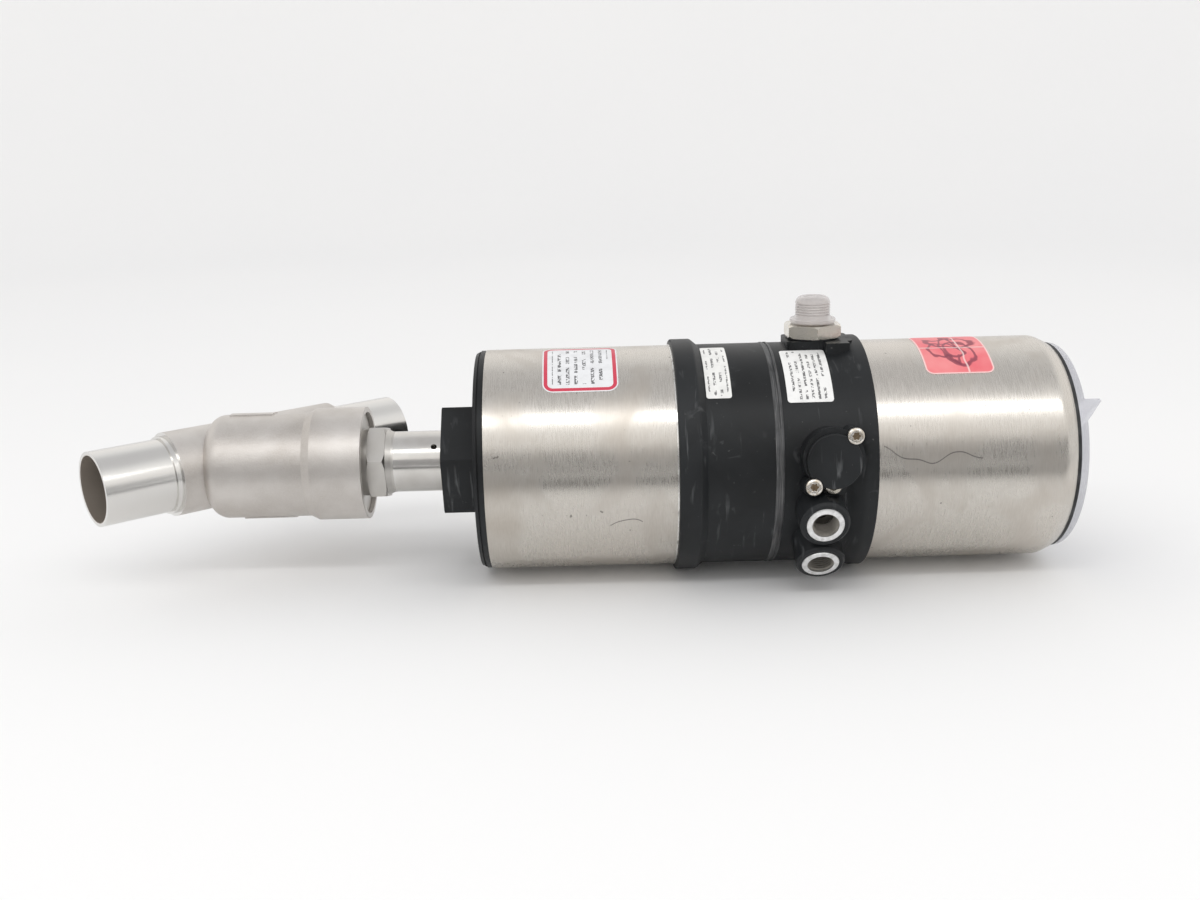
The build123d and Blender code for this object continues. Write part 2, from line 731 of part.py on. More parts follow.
def rod_bush():
    """Guides the feedback rod through the bulkhead."""
    bush_radius = ROD_OD / 2 + ROD_BUSH_WALL - FIT
    return ring(ROD_OD / 2 + RUNNING, bush_radius, bulkhead_start, bulkhead_end)


def rod_seal():
    start = bulkhead_end + FIT
    inner = ROD_OD / 2 + RUNNING
    outer = ROD_OD / 2 + ROD_BUSH_WALL - FIT
    end = start + ROD_SEAL
    return turned([
        (start, inner), (start, outer), (end, outer), (end - LIP_NOTCH, (inner + outer) / 2),
        (end, inner),
    ])


def seam_ring():
    """Seal between housing and head, with two ridges and a groove between them."""
    outer = shell_radius + 0.25
    inner = shell_radius - HOUSING_WALL
    start = housing_end + FIT
    end = head_base_start - FIT
    third = (end - start) / 3
    return turned([
        (start, inner), (start, outer - 0.3), (start + third / 2, outer),
        (start + third, outer), (start + third, outer - SEAM_GROOVE),
        (end - third, outer - SEAM_GROOVE), (end - third, outer), (end - third / 2, outer),
        (end, outer - 0.3), (end, inner),
    ])


# ---- positioner base and what is fixed to it ----------------------------------------------

def from_flange(setback):
    return head_base_end - setback


port_stations = from_flange(PORT_SETBACK)
cover_station = from_flange(COVER_SETBACK)
vent_station = from_flange(VENT_SETBACK)
plug_station = from_flange(PLUG_SETBACK)


def cover_screw_spots():
    """The two screw places, in the relief cover's own frame."""
    along, around = COVER_SCREW_OFFSET
    return [Pos(along, around, 0), Pos(-along, -around, 0)]


def positioner_base():
    """Moulded base ring with its flange, plug platform, port bosses and cover boss."""
    flange_radius = BASE_FLANGE_OD / 2
    chamber = shell_radius - BASE_WALL
    flange_start = head_base_end - BASE_FLANGE
    outer = turned(
        [
            (head_base_start, 0), (head_base_start, shell_radius),
            (flange_start - BASE_FLARE, shell_radius), (flange_start, flange_radius),
            (head_base_end, flange_radius), (head_base_end, spigot_radius),
            (head_lip_end, spigot_radius), (head_lip_end, 0),
        ],
        rounds=[
            (flange_start - BASE_FLARE, shell_radius, 8.0), (flange_start, flange_radius, 5.0),
            (head_base_end, flange_radius, 0.5),
        ],
    )
    # plug platform, and the ledge beside it with its sloping web
    length, width = PLATFORM
    platform = Pos(0, 0, PLATFORM_REACH / 2) * Box(length, width, PLATFORM_REACH)
    platform = fillet(platform.edges().filter_by(Axis.Z), 2.5)
    outer += toward(plug_station + 1.5, PLUG_ANGLE) * platform
    ledge_start, ledge_end = [from_flange(setback) for setback in LEDGE_SETBACKS]
    ledge_length = ledge_end - ledge_start
    deep, shallow = LEDGE_DROPS
    side = make_face(Polyline((0, 0), (ledge_length, 0), (ledge_length, -shallow), (0, -deep),
                              close=True))
    ledge = extrude(Plane.XZ * side, width / 2 + LEDGE_DEPTH)
    outer += toward(ledge_start, PLUG_ANGLE, PLATFORM_REACH) * ledge
    # round bosses for the air ports, each with a chamfered mouth
    for angle in PORT_ANGLES:
        boss = chamfer(
            post(PORT_BOSS_OD / 2, 30.0, PORT_REACH).edges().sort_by(Axis.Z)[-1], 0.9)
        outer += toward(port_stations, angle) * boss
    # boss of the relief cover with its two screw pillars, and the vent plug's pad and well
    cover_place = toward(cover_station, COVER_ANGLE)
    boss_top = COVER_REACH - COVER
    outer += cover_place * Pos(0, COVER_BOSS_LIFT, 0) * post(COVER_BOSS_OD / 2, 30.0, boss_top)
    for spot in cover_screw_spots():
        outer += cover_place * spot * post(SCREW_BOSS_OD / 2, 30.0, boss_top)
    vent_place = toward(vent_station, VENT_ANGLE)
    well = VENT_OD / 2 + VENT_WELL
    outer += vent_place * post(well + 1.0, 30.0, VENT_REACH - 0.8)
    outer -= vent_place * post(well, VENT_REACH - 0.8, boss_top + 3)
    # the hollow inside, and every hole
    base = outer - rod(chamber, head_floor, head_lip_end + 1)
    base -= rod(SENSOR_BORE / 2 + SENSOR_WALL + FIT, head_base_start - 1, head_floor + 1)
    for angle in PORT_ANGLES:
        base -= toward(port_stations, angle) * post(PORT_RING_OD / 2 + FIT, 30.0, PORT_REACH + 5)
    for spot in cover_screw_spots():
        hole = post(SCREW_OD / 2 + FIT, COVER_REACH - SCREW_LENGTH, COVER_REACH)
        base -= cover_place * spot * hole
    base -= vent_place * post(VENT_OD / 2 + FIT, 36.0, VENT_REACH + 5)
    base -= toward(plug_station, PLUG_ANGLE) * post(PLUG_THREAD_OD / 2 + FIT, 30.0, 60.0)
    for angle in HOUSING_SCREW_ANGLES:
        place = Rot(90 - angle, 0, 0) * Pos(0, 0, SCREW_CIRCLE / 2) * Rot(0, 90, 0)
        base -= Pos(head_base_start, 0, 0) * place * Cylinder(
            HOUSING_SCREW_OD / 2 + FIT, 4 * BASE_WEB)
    return base


def housing_screws():
    """Three screws that hold the head's base to the actuator housing."""
    screws = []
    for angle in HOUSING_SCREW_ANGLES:
        shaft_end = head_floor
        shaft_start = head_floor - HOUSING_SCREW_LENGTH
        screw = rod(HOUSING_SCREW_OD / 2, shaft_start, shaft_end)
        head = rod(HOUSING_SCREW_HEAD_OD / 2, shaft_end, shaft_end + HOUSING_SCREW_HEAD,
                   rounds=[(shaft_end + HOUSING_SCREW_HEAD, HOUSING_SCREW_HEAD_OD / 2, 0.4)])
        head -= hexagon(3.0, shaft_end + 1, shaft_end + HOUSING_SCREW_HEAD + 1)
        screws.append(Rot(90 - angle, 0, 0) * Pos(0, 0, SCREW_CIRCLE / 2) * (screw + head))
    return screws


def sensor_tube():
    """Closed tube that the magnet runs in; the travel sensor reads it from outside."""
    inner = SENSOR_BORE / 2
    outer = inner + SENSOR_WALL
    start = head_base_start
    end = magnet_end + STROKE + 4.0
    return turned([
        (start, inner), (start, outer), (end, outer), (end, 0), (end - 2, 0), (end - 2, inner),
    ])


def pilot_valve_block():
    """Manifold with two small solenoid valves, screwed to the base's floor."""
    length, width, height = PILOT_BLOCK
    block = Box(length, width, height)
    for side in (-1, 1):
        coil_body = Pos(length / 2 + 4, side * width / 4, 0) * Rot(0, 90, 0) * Cylinder(4.5, 8)
        block += coil_body
    middle = head_floor + FIT + length / 2
    return toward(middle, -25.0, PILOT_REACH) * block


def port_insert(angle):
    """Threaded metal insert of an air port."""
    top = PORT_REACH + PORT_PROUD
    insert = post(PORT_RING_OD / 2, top - PORT_DEPTH - 3, top)
    insert = chamfer(insert.edges().sort_by(Axis.Z)[-1], 0.6)
    insert -= post(PORT_MINOR / 2, top - PORT_DEPTH, top + 1)
    insert -= post(PORT_MINOR / 2 - 2, top - PORT_DEPTH - 4, top)
    return toward(port_stations, angle) * insert


def vent_plug():
    plug = post(VENT_OD / 2, 41.5, VENT_REACH)
    plug = chamfer(plug.edges().sort_by(Axis.Z)[-1], 0.5)
    plug -= post(VENT_HOLE / 2, VENT_REACH - 3, VENT_REACH + 1)
    return toward(vent_station, VENT_ANGLE) * plug


def relief_cover():
    disc = post(COVER_OD / 2, COVER_REACH - COVER + FIT, COVER_REACH)
    disc = fillet(disc.edges().sort_by(Axis.Z)[-1], 0.5)
    for spot in cover_screw_spots():
        disc -= spot * post(PAN_HEAD_OD / 2 + LOOSE, COVER_REACH - COVER - 1, COVER_REACH + 5)
    return toward(cover_station, COVER_ANGLE) * disc


def cover_screws():
    """Two pan-head screws with a six-lobe recess beside the relief cover."""
    screws = []
    seat = COVER_REACH - COVER + FIT
    for spot in cover_screw_spots():
        head = post(PAN_HEAD_OD / 2, seat, seat + PAN_HEAD)
        head = fillet(head.edges().sort_by(Axis.Z)[-1], 0.9)
        shaft = post(SCREW_OD / 2, COVER_REACH - SCREW_LENGTH + 1, seat)
        recess = Pos(0, 0, seat + PAN_HEAD - 1.2) * extrude(RegularPolygon(TORX / 2, 6), 2)
        screws.append(toward(cover_station, COVER_ANGLE) * spot * (head + shaft - recess))
    return screws


def m12_connector():
    """Round M12 plug connector: threaded sleeve with the contact cavity in its end."""
    body = post(PLUG_THREAD_OD / 2, 34.0, PLUG_THREAD_REACH)
    body = chamfer(body.edges().sort_by(Axis.Z)[-1], 0.5)
    floor = PLUG_THREAD_REACH - PLUG_CAVITY_DEPTH
    body -= post(PLUG_CAVITY / 2, floor, PLUG_THREAD_REACH + 1)
    for number in range(CONTACT_COUNT):
        spot = Rot(0, 0, 45 + 360 / CONTACT_COUNT * number) * Pos(CONTACT_RING / 2, 0, 0)
        body -= spot * post(CONTACT_OD / 2 + FIT, floor - 3, floor + 1)
    return toward(plug_station, PLUG_ANGLE) * body


def m12_contacts():
    floor = PLUG_THREAD_REACH - PLUG_CAVITY_DEPTH
    pins = []
    for number in range(CONTACT_COUNT):
        spot = Rot(0, 0, 45 + 360 / CONTACT_COUNT * number) * Pos(CONTACT_RING / 2, 0, 0)
        pin = post(CONTACT_OD / 2, floor - 3 + FIT, floor + 6)
        pins.append(toward(plug_station, PLUG_ANGLE) * spot * pin)
    return pins


def m12_gasket():
    gasket = post(PLUG_GASKET_OD / 2, PLATFORM_REACH + FIT, PLATFORM_REACH + PLUG_GASKET)
    gasket -= post(PLUG_THREAD_OD / 2 + FIT, PLATFORM_REACH - 1, PLATFORM_REACH + 2)
    return toward(plug_station, PLUG_ANGLE) * gasket


nut_top = PLATFORM_REACH + PLUG_GASKET + PLUG_NUT


def m12_nut():
    start = PLATFORM_REACH + PLUG_GASKET + FIT
    corner = PLUG_NUT_AF / math.sqrt(3)
    nut = Pos(0, 0, start) * Rot(0, 0, 30) * extrude(RegularPolygon(corner, 6), nut_top - start)
    facing = chamfer(post(corner, start, nut_top).edges().filter_by(GeomType.CIRCLE), 0.9)
    nut = nut & facing
    nut -= post(PLUG_THREAD_OD / 2 + FIT, start - 1, nut_top + 1)
    return toward(plug_station, PLUG_ANGLE) * nut


def dust_cap():
    """Push-on cap over the connector thread, with a flange to pull it off by."""
    start = nut_top + AIR
    inner = PLUG_THREAD_OD / 2 + RUNNING
    cap = post(DUST_CAP_OD / 2, start, DUST_CAP_REACH)
    cap = fillet(cap.edges().sort_by(Axis.Z)[-1], 1.6)
    flange = post(DUST_CAP_FLANGE_OD / 2, start, start + DUST_CAP_FLANGE)
    flange = fillet(flange.edges().filter_by(GeomType.CIRCLE), 0.6)
    cap += flange
    cap -= post(inner, start - 1, DUST_CAP_REACH - 1.2)
    return toward(plug_station, PLUG_ANGLE) * cap


# ---- positioner head -----------------------------------------------------------------------

def positioner_shell():
    """Deep-drawn shell with a rounded shoulder and an open end for the clear cap."""
    rim_radius = HEAD_RIM_OD / 2
    outline = [
        (head_base_end + FIT, shell_bore), (head_base_end + FIT, shell_radius),
        (head_end - HEAD_SHOULDER, shell_radius), (head_end - 1.2, rim_radius + 0.9),
        (head_end, rim_radius), (head_end, BAYONET_BORE / 2 + 2.0),
        (head_end - SHELL_WALL, BAYONET_BORE / 2 + 2.0),
        (head_end - SHELL_WALL - 0.5, rim_radius - 0.2),
        (head_end - HEAD_SHOULDER, shell_bore),
    ]
    return turned(outline, rounds=[
        (head_end - HEAD_SHOULDER, shell_radius, 6.0), (head_end - 1.2, rim_radius + 0.9, 2.0),
    ])


def bayonet_ring():
    """Ring in the shell's mouth: three entry slots lead the cap's tabs into its groove."""
    inner = BAYONET_BORE / 2
    outer = HEAD_RIM_OD / 2 - BAYONET_RING_INSET
    start = head_end - BAYONET_DEPTH
    end = head_end - SHELL_WALL - 0.5 - FIT
    groove_start = cap_start - CAP_SKIRT - AIR
    groove_end = groove_start + BAYONET_TAB_LENGTH + 2 * AIR
    groove_radius = inner + BAYONET_TAB
    body = turned([
        (start, inner), (start, outer), (end, outer), (end, inner),
        (groove_end, inner), (groove_end, groove_radius), (groove_start, groove_radius),
        (groove_start, inner),
    ])
    entry = ring(inner - 1, groove_radius + AIR, groove_end - 1, end + 1)
    for number in range(BAYONET_COUNT):
        angle = 360 / BAYONET_COUNT * number - BAYONET_TURN
        body -= entry & sector(angle, BAYONET_TAB_SWEEP + 3)
    return body


def sector(middle_angle, sweep):
    """A wedge about the whole axis, used to keep one stretch of a ring."""
    half = math.radians(sweep / 2)
    reach = 90.0
    wedge = make_face(Polyline(
        (0, 0), (reach * math.sin(half), reach * math.cos(half)),
        (-reach * math.sin(half), reach * math.cos(half)), close=True))
    prism = extrude(Plane.YZ * wedge, 300.0, both=True)
    return Pos(200, 0, 0) * Rot(90 - middle_angle, 0, 0) * prism


def cap_seal():
    return ring(BAYONET_BORE / 2 + 0.8, HEAD_RIM_OD / 2 - 0.1, head_end + FIT, cap_start - RUNNING)


def clear_cap():
    """Translucent twist-off cap: disc, skirt with three bayonet tabs, and a grip fin."""
    outer = CAP_OD / 2
    skirt = BAYONET_BORE / 2 - AIR
    skirt_start = cap_start - CAP_SKIRT
    cap = turned(
        [
            (cap_start, skirt), (cap_start, outer), (cap_end, outer), (cap_end, 0),
            (cap_end - CAP_WALL, 0), (cap_end - CAP_WALL, skirt - CAP_WALL),
            (skirt_start, skirt - CAP_WALL), (skirt_start, skirt),
        ],
        rounds=[(cap_end, outer, 2.2)],
    )
    tab = ring(skirt - 1, BAYONET_BORE / 2 + BAYONET_TAB - AIR,
               skirt_start, skirt_start + BAYONET_TAB_LENGTH)
    for number in range(BAYONET_COUNT):
        cap += tab & sector(360 / BAYONET_COUNT * number, BAYONET_TAB_SWEEP)
    low, high = FIN_BASE_ANGLES
    across = outer * math.radians(high - low)
    profile = make_face(Polyline(
        (-1.5, -across / 2), (0, -across / 2), (FIN_REACH, across / 2 - 1.0),
        (FIN_REACH - 0.6, across / 2), (-1.5, across / 2), close=True))
    fin = extrude(profile, FIN_WIDTH)
    cap += toward(cap_end, (low + high) / 2, outer - FIN_WIDTH - 1.0) * fin
    return cap


def control_board():
    """Round circuit board with a hole for the sensor tube and a few chips."""
    start = head_lip_end + BOARD_AT
    board = ring(SENSOR_BORE / 2 + SENSOR_WALL + 1, BOARD_OD / 2, start, start + BOARD)
    for angle, reach, size in ((40, 22, 9), (150, 20, 12), (270, 24, 7)):
        board += toward(start + BOARD + 0.6, angle, reach) * Box(1.6, size, size)
    return board


def keypad_frame():
    """Disc under the clear cap that carries display and keys."""
    frame = rod(KEYPAD_OD / 2, keypad_face - KEYPAD, keypad_face)
    across, tall = DISPLAY
    window = Pos(keypad_face, 0, DISPLAY_OFFSET) * Box(
        2 * DISPLAY_THICKNESS, across + 2 * FIT, tall + 2 * FIT)
    frame -= window
    for place in key_places():
        frame -= place * rod(KEY_OD / 2 + LOOSE, keypad_face - KEYPAD - 1, keypad_face + 1)
        frame -= place * rod(KEY_OD / 2 + KEY_RIM + AIR, keypad_face - KEYPAD - 1,
                             keypad_face - KEY_POCKET_AT)
    return frame


def display_module():
    across, tall = DISPLAY
    start = keypad_face - DISPLAY_THICKNESS + FIT
    middle = (start + keypad_face) / 2
    return Pos(middle, 0, DISPLAY_OFFSET) * Box(keypad_face - start, across, tall)


def key_places():
    first = -KEY_SPACING * (KEY_COUNT - 1) / 2
    return [Pos(0, first + KEY_SPACING * number, KEY_ROW_OFFSET) for number in range(KEY_COUNT)]


def key(place):
    """Round key with a flange that keeps it behind the frame; it is pressed towards -X."""
    flange_end = keypad_face - KEY_POCKET_AT - AIR / 2
    cap = turned([
        (flange_end - KEY_FLANGE, 0), (flange_end - KEY_FLANGE, KEY_OD / 2 + KEY_RIM),
        (flange_end, KEY_OD / 2 + KEY_RIM), (flange_end, KEY_OD / 2),
        (keypad_face + KEY_PROUD, KEY_OD / 2), (keypad_face + KEY_PROUD, 0),
    ], rounds=[(keypad_face + KEY_PROUD, KEY_OD / 2, 0.8)])
    return place * cap


# ---- labels ----------------------------------------------------------------------------------

def label(name, datum):
    """A thin sheet wrapped on the cylinder: start from the datum, length, and two angles."""
    start, length, low, high = LABEL_SPANS[name]
    sheet = ring(shell_radius, shell_radius + LABEL, datum + start, datum + start + length)
    return sheet & sector((low + high) / 2, high - low)


# ---- write every piece -------------------------------------------------------------------------

pieces = {
    "valve_body": valve_body(),
    "body_gasket": body_gasket(),
    "nipple": nipple(),
    "gland": gland(),
    "packing_rings": packing_rings(),
    "packing_spring": packing_spring(),
    "snap_ring": snap_ring(),
    "stem": stem(),
    "plug_cone": plug_cone(),
    "plug_seal": plug_seal(),
    "plug_holder": plug_holder(),
    "plug_pin": plug_pin(),
    "piston": piston(),
    "piston_seal": piston_seal(),
    "piston_nut": piston_nut(),
    "feedback_rod": feedback_rod(),
    "feedback_magnet": feedback_magnet(),
    "actuator_base": actuator_base(),
    "stem_bush": stem_bush(),
    "stem_seal": stem_seal(),
    "cylinder_liner": cylinder_liner(),
    "actuator_shell": actuator_shell(),
    "shell_o_rings": shell_o_rings(),
    "edge_ring": edge_ring(),
    "main_spring": main_spring(),
    "inner_spring": inner_spring(),
    "actuator_housing": actuator_housing(),
    "rod_bush": rod_bush(),
    "rod_seal": rod_seal(),
    "seam_ring": seam_ring(),
    "positioner_base": positioner_base(),
    "housing_screws": housing_screws(),
    "sensor_tube": sensor_tube(),
    "pilot_valve_block": pilot_valve_block(),
    "port_insert_upper": port_insert(PORT_ANGLES[0]),
    "port_insert_lower": port_insert(PORT_ANGLES[1]),
    "vent_plug": vent_plug(),
    "relief_cover": relief_cover(),
    "cover_screws": cover_screws(),
    "m12_connector": m12_connector(),
    "m12_contacts": m12_contacts(),
    "m12_gasket": m12_gasket(),
    "m12_nut": m12_nut(),
    "dust_cap": dust_cap(),
    "positioner_shell": positioner_shell(),
    "bayonet_ring": bayonet_ring(),
    "cap_seal": cap_seal(),
    "clear_cap": clear_cap(),
    "control_board": control_board(),
    "keypad_frame": keypad_frame(),
    "display_module": display_module(),
    "warning_label": label("warning_label", shell_end),
    "strip_label": label("strip_label", housing_end),
    "rating_label": label("rating_label", head_base_end),
    "sticker": label("sticker", head_base_end),
}
for number, place in enumerate(key_places(), start=1):
    pieces[f"key_{number}"] = key(place)

os.makedirs("parts", exist_ok=True)
to_inlet = Pos(*(-inlet_centre))
for name, piece in pieces.items():
    solids = piece if isinstance(piece, list) else piece.solids()
    placed = Compound(children=[to_inlet * solid for solid in solids])
    export_step(placed, f"parts/{name}.step")
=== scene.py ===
import json
import math

import bmesh
import bpy
from mathutils import Matrix, Vector


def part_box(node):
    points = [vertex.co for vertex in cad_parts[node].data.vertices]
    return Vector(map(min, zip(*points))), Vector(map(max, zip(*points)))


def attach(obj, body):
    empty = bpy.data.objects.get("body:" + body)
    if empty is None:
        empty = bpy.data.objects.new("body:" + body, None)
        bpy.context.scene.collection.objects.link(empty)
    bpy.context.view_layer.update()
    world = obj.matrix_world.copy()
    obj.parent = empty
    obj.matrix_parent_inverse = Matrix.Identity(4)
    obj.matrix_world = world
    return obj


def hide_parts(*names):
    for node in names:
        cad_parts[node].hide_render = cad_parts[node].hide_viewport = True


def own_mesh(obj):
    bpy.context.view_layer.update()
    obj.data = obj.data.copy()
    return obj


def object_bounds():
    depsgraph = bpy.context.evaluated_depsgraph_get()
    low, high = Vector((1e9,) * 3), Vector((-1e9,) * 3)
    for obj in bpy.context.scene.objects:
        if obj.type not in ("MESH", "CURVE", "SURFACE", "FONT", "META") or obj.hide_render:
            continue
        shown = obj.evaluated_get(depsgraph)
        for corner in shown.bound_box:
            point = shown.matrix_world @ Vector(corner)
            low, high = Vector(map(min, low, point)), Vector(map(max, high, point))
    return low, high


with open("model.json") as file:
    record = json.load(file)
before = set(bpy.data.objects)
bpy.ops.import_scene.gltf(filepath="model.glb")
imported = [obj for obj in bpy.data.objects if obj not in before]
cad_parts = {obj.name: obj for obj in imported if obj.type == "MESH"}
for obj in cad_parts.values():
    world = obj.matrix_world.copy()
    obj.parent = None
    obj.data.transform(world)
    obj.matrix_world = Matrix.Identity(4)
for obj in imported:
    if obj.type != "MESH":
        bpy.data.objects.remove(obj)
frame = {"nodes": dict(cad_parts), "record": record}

cad_low, cad_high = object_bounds()

# The actuator axis runs along +X through the middle of the round shells.
shell_low, shell_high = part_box("actuator_shell")
axis_y = (shell_low.y + shell_high.y) / 2
axis_z = (shell_low.z + shell_high.z) / 2


# ---- studio: camera, floor and light ---------------------------------------------------
# The valve lies on a pale sheet that curves up all round it, under one long softbox above
# the front and the soft light of a white room.

CAMERA_HEIGHT = math.radians(15.0)
CAMERA_DISTANCE = 0.506
CAMERA_ROLL = 0.0279
LENS = 38.14
SHIFT = (0.0163, 0.0054)
FLOOR_FLAT = 1.3
FLOOR_CURVE = 0.7
FLOOR_RISE = math.radians(80.0)
SOFTBOX_HEIGHT = math.radians(54.0)
SOFTBOX_DISTANCE = 1.1
SOFTBOX_SIZE = (1.8, 0.12)
SOFTBOX_WATTS = 3.1
CREASE = math.radians(35.0)

backward = Vector((0, -math.cos(CAMERA_HEIGHT), math.sin(CAMERA_HEIGHT)))
level_up = Vector((0, math.sin(CAMERA_HEIGHT), math.cos(CAMERA_HEIGHT)))
along = Vector((1, 0, 0))
right = along * math.cos(CAMERA_ROLL) - level_up * math.sin(CAMERA_ROLL)
up = along * math.sin(CAMERA_ROLL) + level_up * math.cos(CAMERA_ROLL)
aim = Vector(((cad_low.x + cad_high.x) / 2, axis_y, axis_z))

camera_data = bpy.data.cameras.new("camera")
camera_data.lens = LENS
camera_data.sensor_width = 36
camera_data.shift_x, camera_data.shift_y = SHIFT
camera_data.clip_start = 0.01
camera_data.clip_end = 50
camera = bpy.data.objects.new("camera", camera_data)
bpy.context.scene.collection.objects.link(camera)
turn = Matrix((right, up, backward)).transposed()
camera.matrix_world = Matrix.Translation(aim + backward * CAMERA_DISTANCE) @ turn.to_4x4()
bpy.context.scene.camera = camera
bpy.context.scene.view_settings.view_transform = "Standard"

lamp_data = bpy.data.lights.new("strip_softbox", "AREA")
lamp_data.shape = "RECTANGLE"
lamp_data.size, lamp_data.size_y = SOFTBOX_SIZE
lamp_data.energy = SOFTBOX_WATTS
lamp = bpy.data.objects.new("strip_softbox", lamp_data)
bpy.context.scene.collection.objects.link(lamp)
outward = Vector((0, -math.cos(SOFTBOX_HEIGHT), math.sin(SOFTBOX_HEIGHT)))
lamp.matrix_world = (Matrix.Translation(aim + outward * SOFTBOX_DISTANCE)
                     @ outward.to_track_quat("Z", "Y").to_matrix().to_4x4())


def add(tree, kind, values=(), **settings):
    """A shader node with its settings; values holds numbers or sockets to link from."""
    made = tree.nodes.new(kind)
    for name, setting in settings.items():
        setattr(made, name, setting)
    for socket, value in dict(values).items():
        if isinstance(value, bpy.types.NodeSocket):
            tree.links.new(value, made.inputs[socket])
        else:
            made.inputs[socket].default_value = value
    return made


def blend_colour(tree, factor, first, second):
    """Mixes two colours, given as (r, g, b) or as sockets."""
    colours = [c if isinstance(c, bpy.types.NodeSocket) else (*c, 1) for c in (first, second)]
    made = add(tree, "ShaderNodeMix", {0: factor, 6: colours[0], 7: colours[1]},
               data_type="RGBA")
    return made.outputs[2]


def grain(tree, place, scale, detail=2.0, distortion=0.0):
    """Noise from 0 to 1; scale is features per metre, one number or one for each direction."""
    if not isinstance(scale, (int, float)):
        place = add(tree, "ShaderNodeMapping", {"Vector": place, "Scale": scale}).outputs[0]
        scale = 1.0
    made = add(tree, "ShaderNodeTexNoise", {"Vector": place, "Scale": scale, "Detail": detail,
                                            "Distortion": distortion})
    return made.outputs[0]


def relief(tree, height, depth):
    """Bump of that depth in metres."""
    values = {"Height": height, "Distance": depth, "Strength": 1.0}
    return add(tree, "ShaderNodeBump", values).outputs[0]


def new_finish(name, colour, roughness, metallic=0.0):
    """A new material with its tree, shader and the place on the piece it reads."""
    made = bpy.data.materials.new(name)
    made.use_nodes = True
    tree = made.node_tree
    shader = tree.nodes["Principled BSDF"]
    shader.inputs["Base Color"].default_value = (*colour, 1)
    shader.inputs["Roughness"].default_value = roughness
    shader.inputs["Metallic"].default_value = metallic
    place = add(tree, "ShaderNodeTexCoord").outputs["Object"]
    return made, tree, shader, place


def join(tree, value, shader, socket):
    """Feeds a value to the shader's own socket."""
    tree.links.new(value, shader.inputs[socket])


def new_piece(name, bm, finish, body=None, replaced=()):
    """Makes a bmesh a piece on a body, in place of its CAD nodes, or part of the studio."""
    bmesh.ops.remove_doubles(bm, verts=bm.verts, dist=0.000001)
    bmesh.ops.recalc_face_normals(bm, faces=bm.faces)
    for face in bm.faces:
        face.smooth = True
    data = bpy.data.meshes.new(name)
    bm.to_mesh(data)
    bm.free()
    data.set_sharp_from_angle(angle=CREASE)
    data.materials.append(finish)
    piece = bpy.data.objects.new(name, data)
    bpy.context.scene.collection.objects.link(piece)
    if body is None:
        return piece
    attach(piece, body)
    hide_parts(*replaced)
    return piece


sheet_finish, tree, shader, place = new_finish("pale_sheet", (0.92, 0.92, 0.92), 0.8)
mottle = grain(tree, place, 2.5)
join(tree, blend_colour(tree, mottle, (0.905, 0.908, 0.912), (0.93, 0.93, 0.928)), shader,
     "Base Color")
join(tree, relief(tree, grain(tree, place, 900), 0.00002), shader, "Normal")
shader.inputs["Specular IOR Level"].default_value = 0.0

bm = bmesh.new()
floor_centre = Vector((aim.x, aim.y, cad_low.z))
middle = bm.verts.new(floor_centre)
edge_of_flat = bm.verts.new(floor_centre + along * FLOOR_FLAT)
bm.edges.new((middle, edge_of_flat))
curve_centre = edge_of_flat.co + Vector((0, 0, FLOOR_CURVE))
bmesh.ops.spin(bm, geom=[edge_of_flat], cent=curve_centre, axis=(0, -1, 0), dvec=(0, 0, 0),
               angle=FLOOR_RISE, steps=16)
bmesh.ops.spin(bm, geom=bm.verts[:] + bm.edges[:], cent=floor_centre, axis=(0, 0, 1),
               dvec=(0, 0, 0), angle=math.tau, steps=96, use_merge=True)
new_piece("floor", bm, sheet_finish)

# A dark card lies on the sheet in front. Only the metal mirrors it, as a dark line.
CARD = (1.6, 0.24)
CARD_AHEAD = 0.30
CARD_THICKNESS = 0.002
card_finish, tree, shader, place = new_finish("dark_card", (0.02, 0.02, 0.02), 0.9)
join(tree, blend_colour(tree, grain(tree, place, 40), (0.02, 0.02, 0.02), (0.03, 0.03, 0.03)),
     shader, "Base Color")
bm = bmesh.new()
bmesh.ops.create_grid(bm, x_segments=2, y_segments=1, size=0.5)
bmesh.ops.scale(bm, vec=(*CARD, 1.0), verts=bm.verts)
bmesh.ops.translate(bm, vec=floor_centre + Vector((0, -CARD_AHEAD, CARD_THICKNESS)), verts=bm.verts)
card = new_piece("front_card", bm, card_finish)

# A grey wall stands farther in front, so that the upright faces mirror a darker room.
WALL = (3.0, 0.42)
WALL_AHEAD = 0.95
wall_finish, tree, shader, place = new_finish("grey_wall", (0.4, 0.4, 0.4), 0.9)
join(tree, blend_colour(tree, grain(tree, place, 4), (0.34, 0.34, 0.35), (0.42, 0.42, 0.42)),
     shader, "Base Color")
bm = bmesh.new()
bmesh.ops.create_grid(bm, x_segments=2, y_segments=1, size=0.5,
                      matrix=Matrix.Rotation(math.radians(90), 4, "X"))
bmesh.ops.scale(bm, vec=(WALL[0], 1.0, WALL[1]), verts=bm.verts)
wall_place = floor_centre + Vector((0, -WALL_AHEAD, WALL[1] / 2))
bmesh.ops.translate(bm, vec=wall_place, verts=bm.verts)
wall = new_piece("front_wall", bm, wall_finish)

for screen in (card, wall):
    screen.visible_camera = False
    screen.visible_diffuse = False
    screen.visible_shadow = False

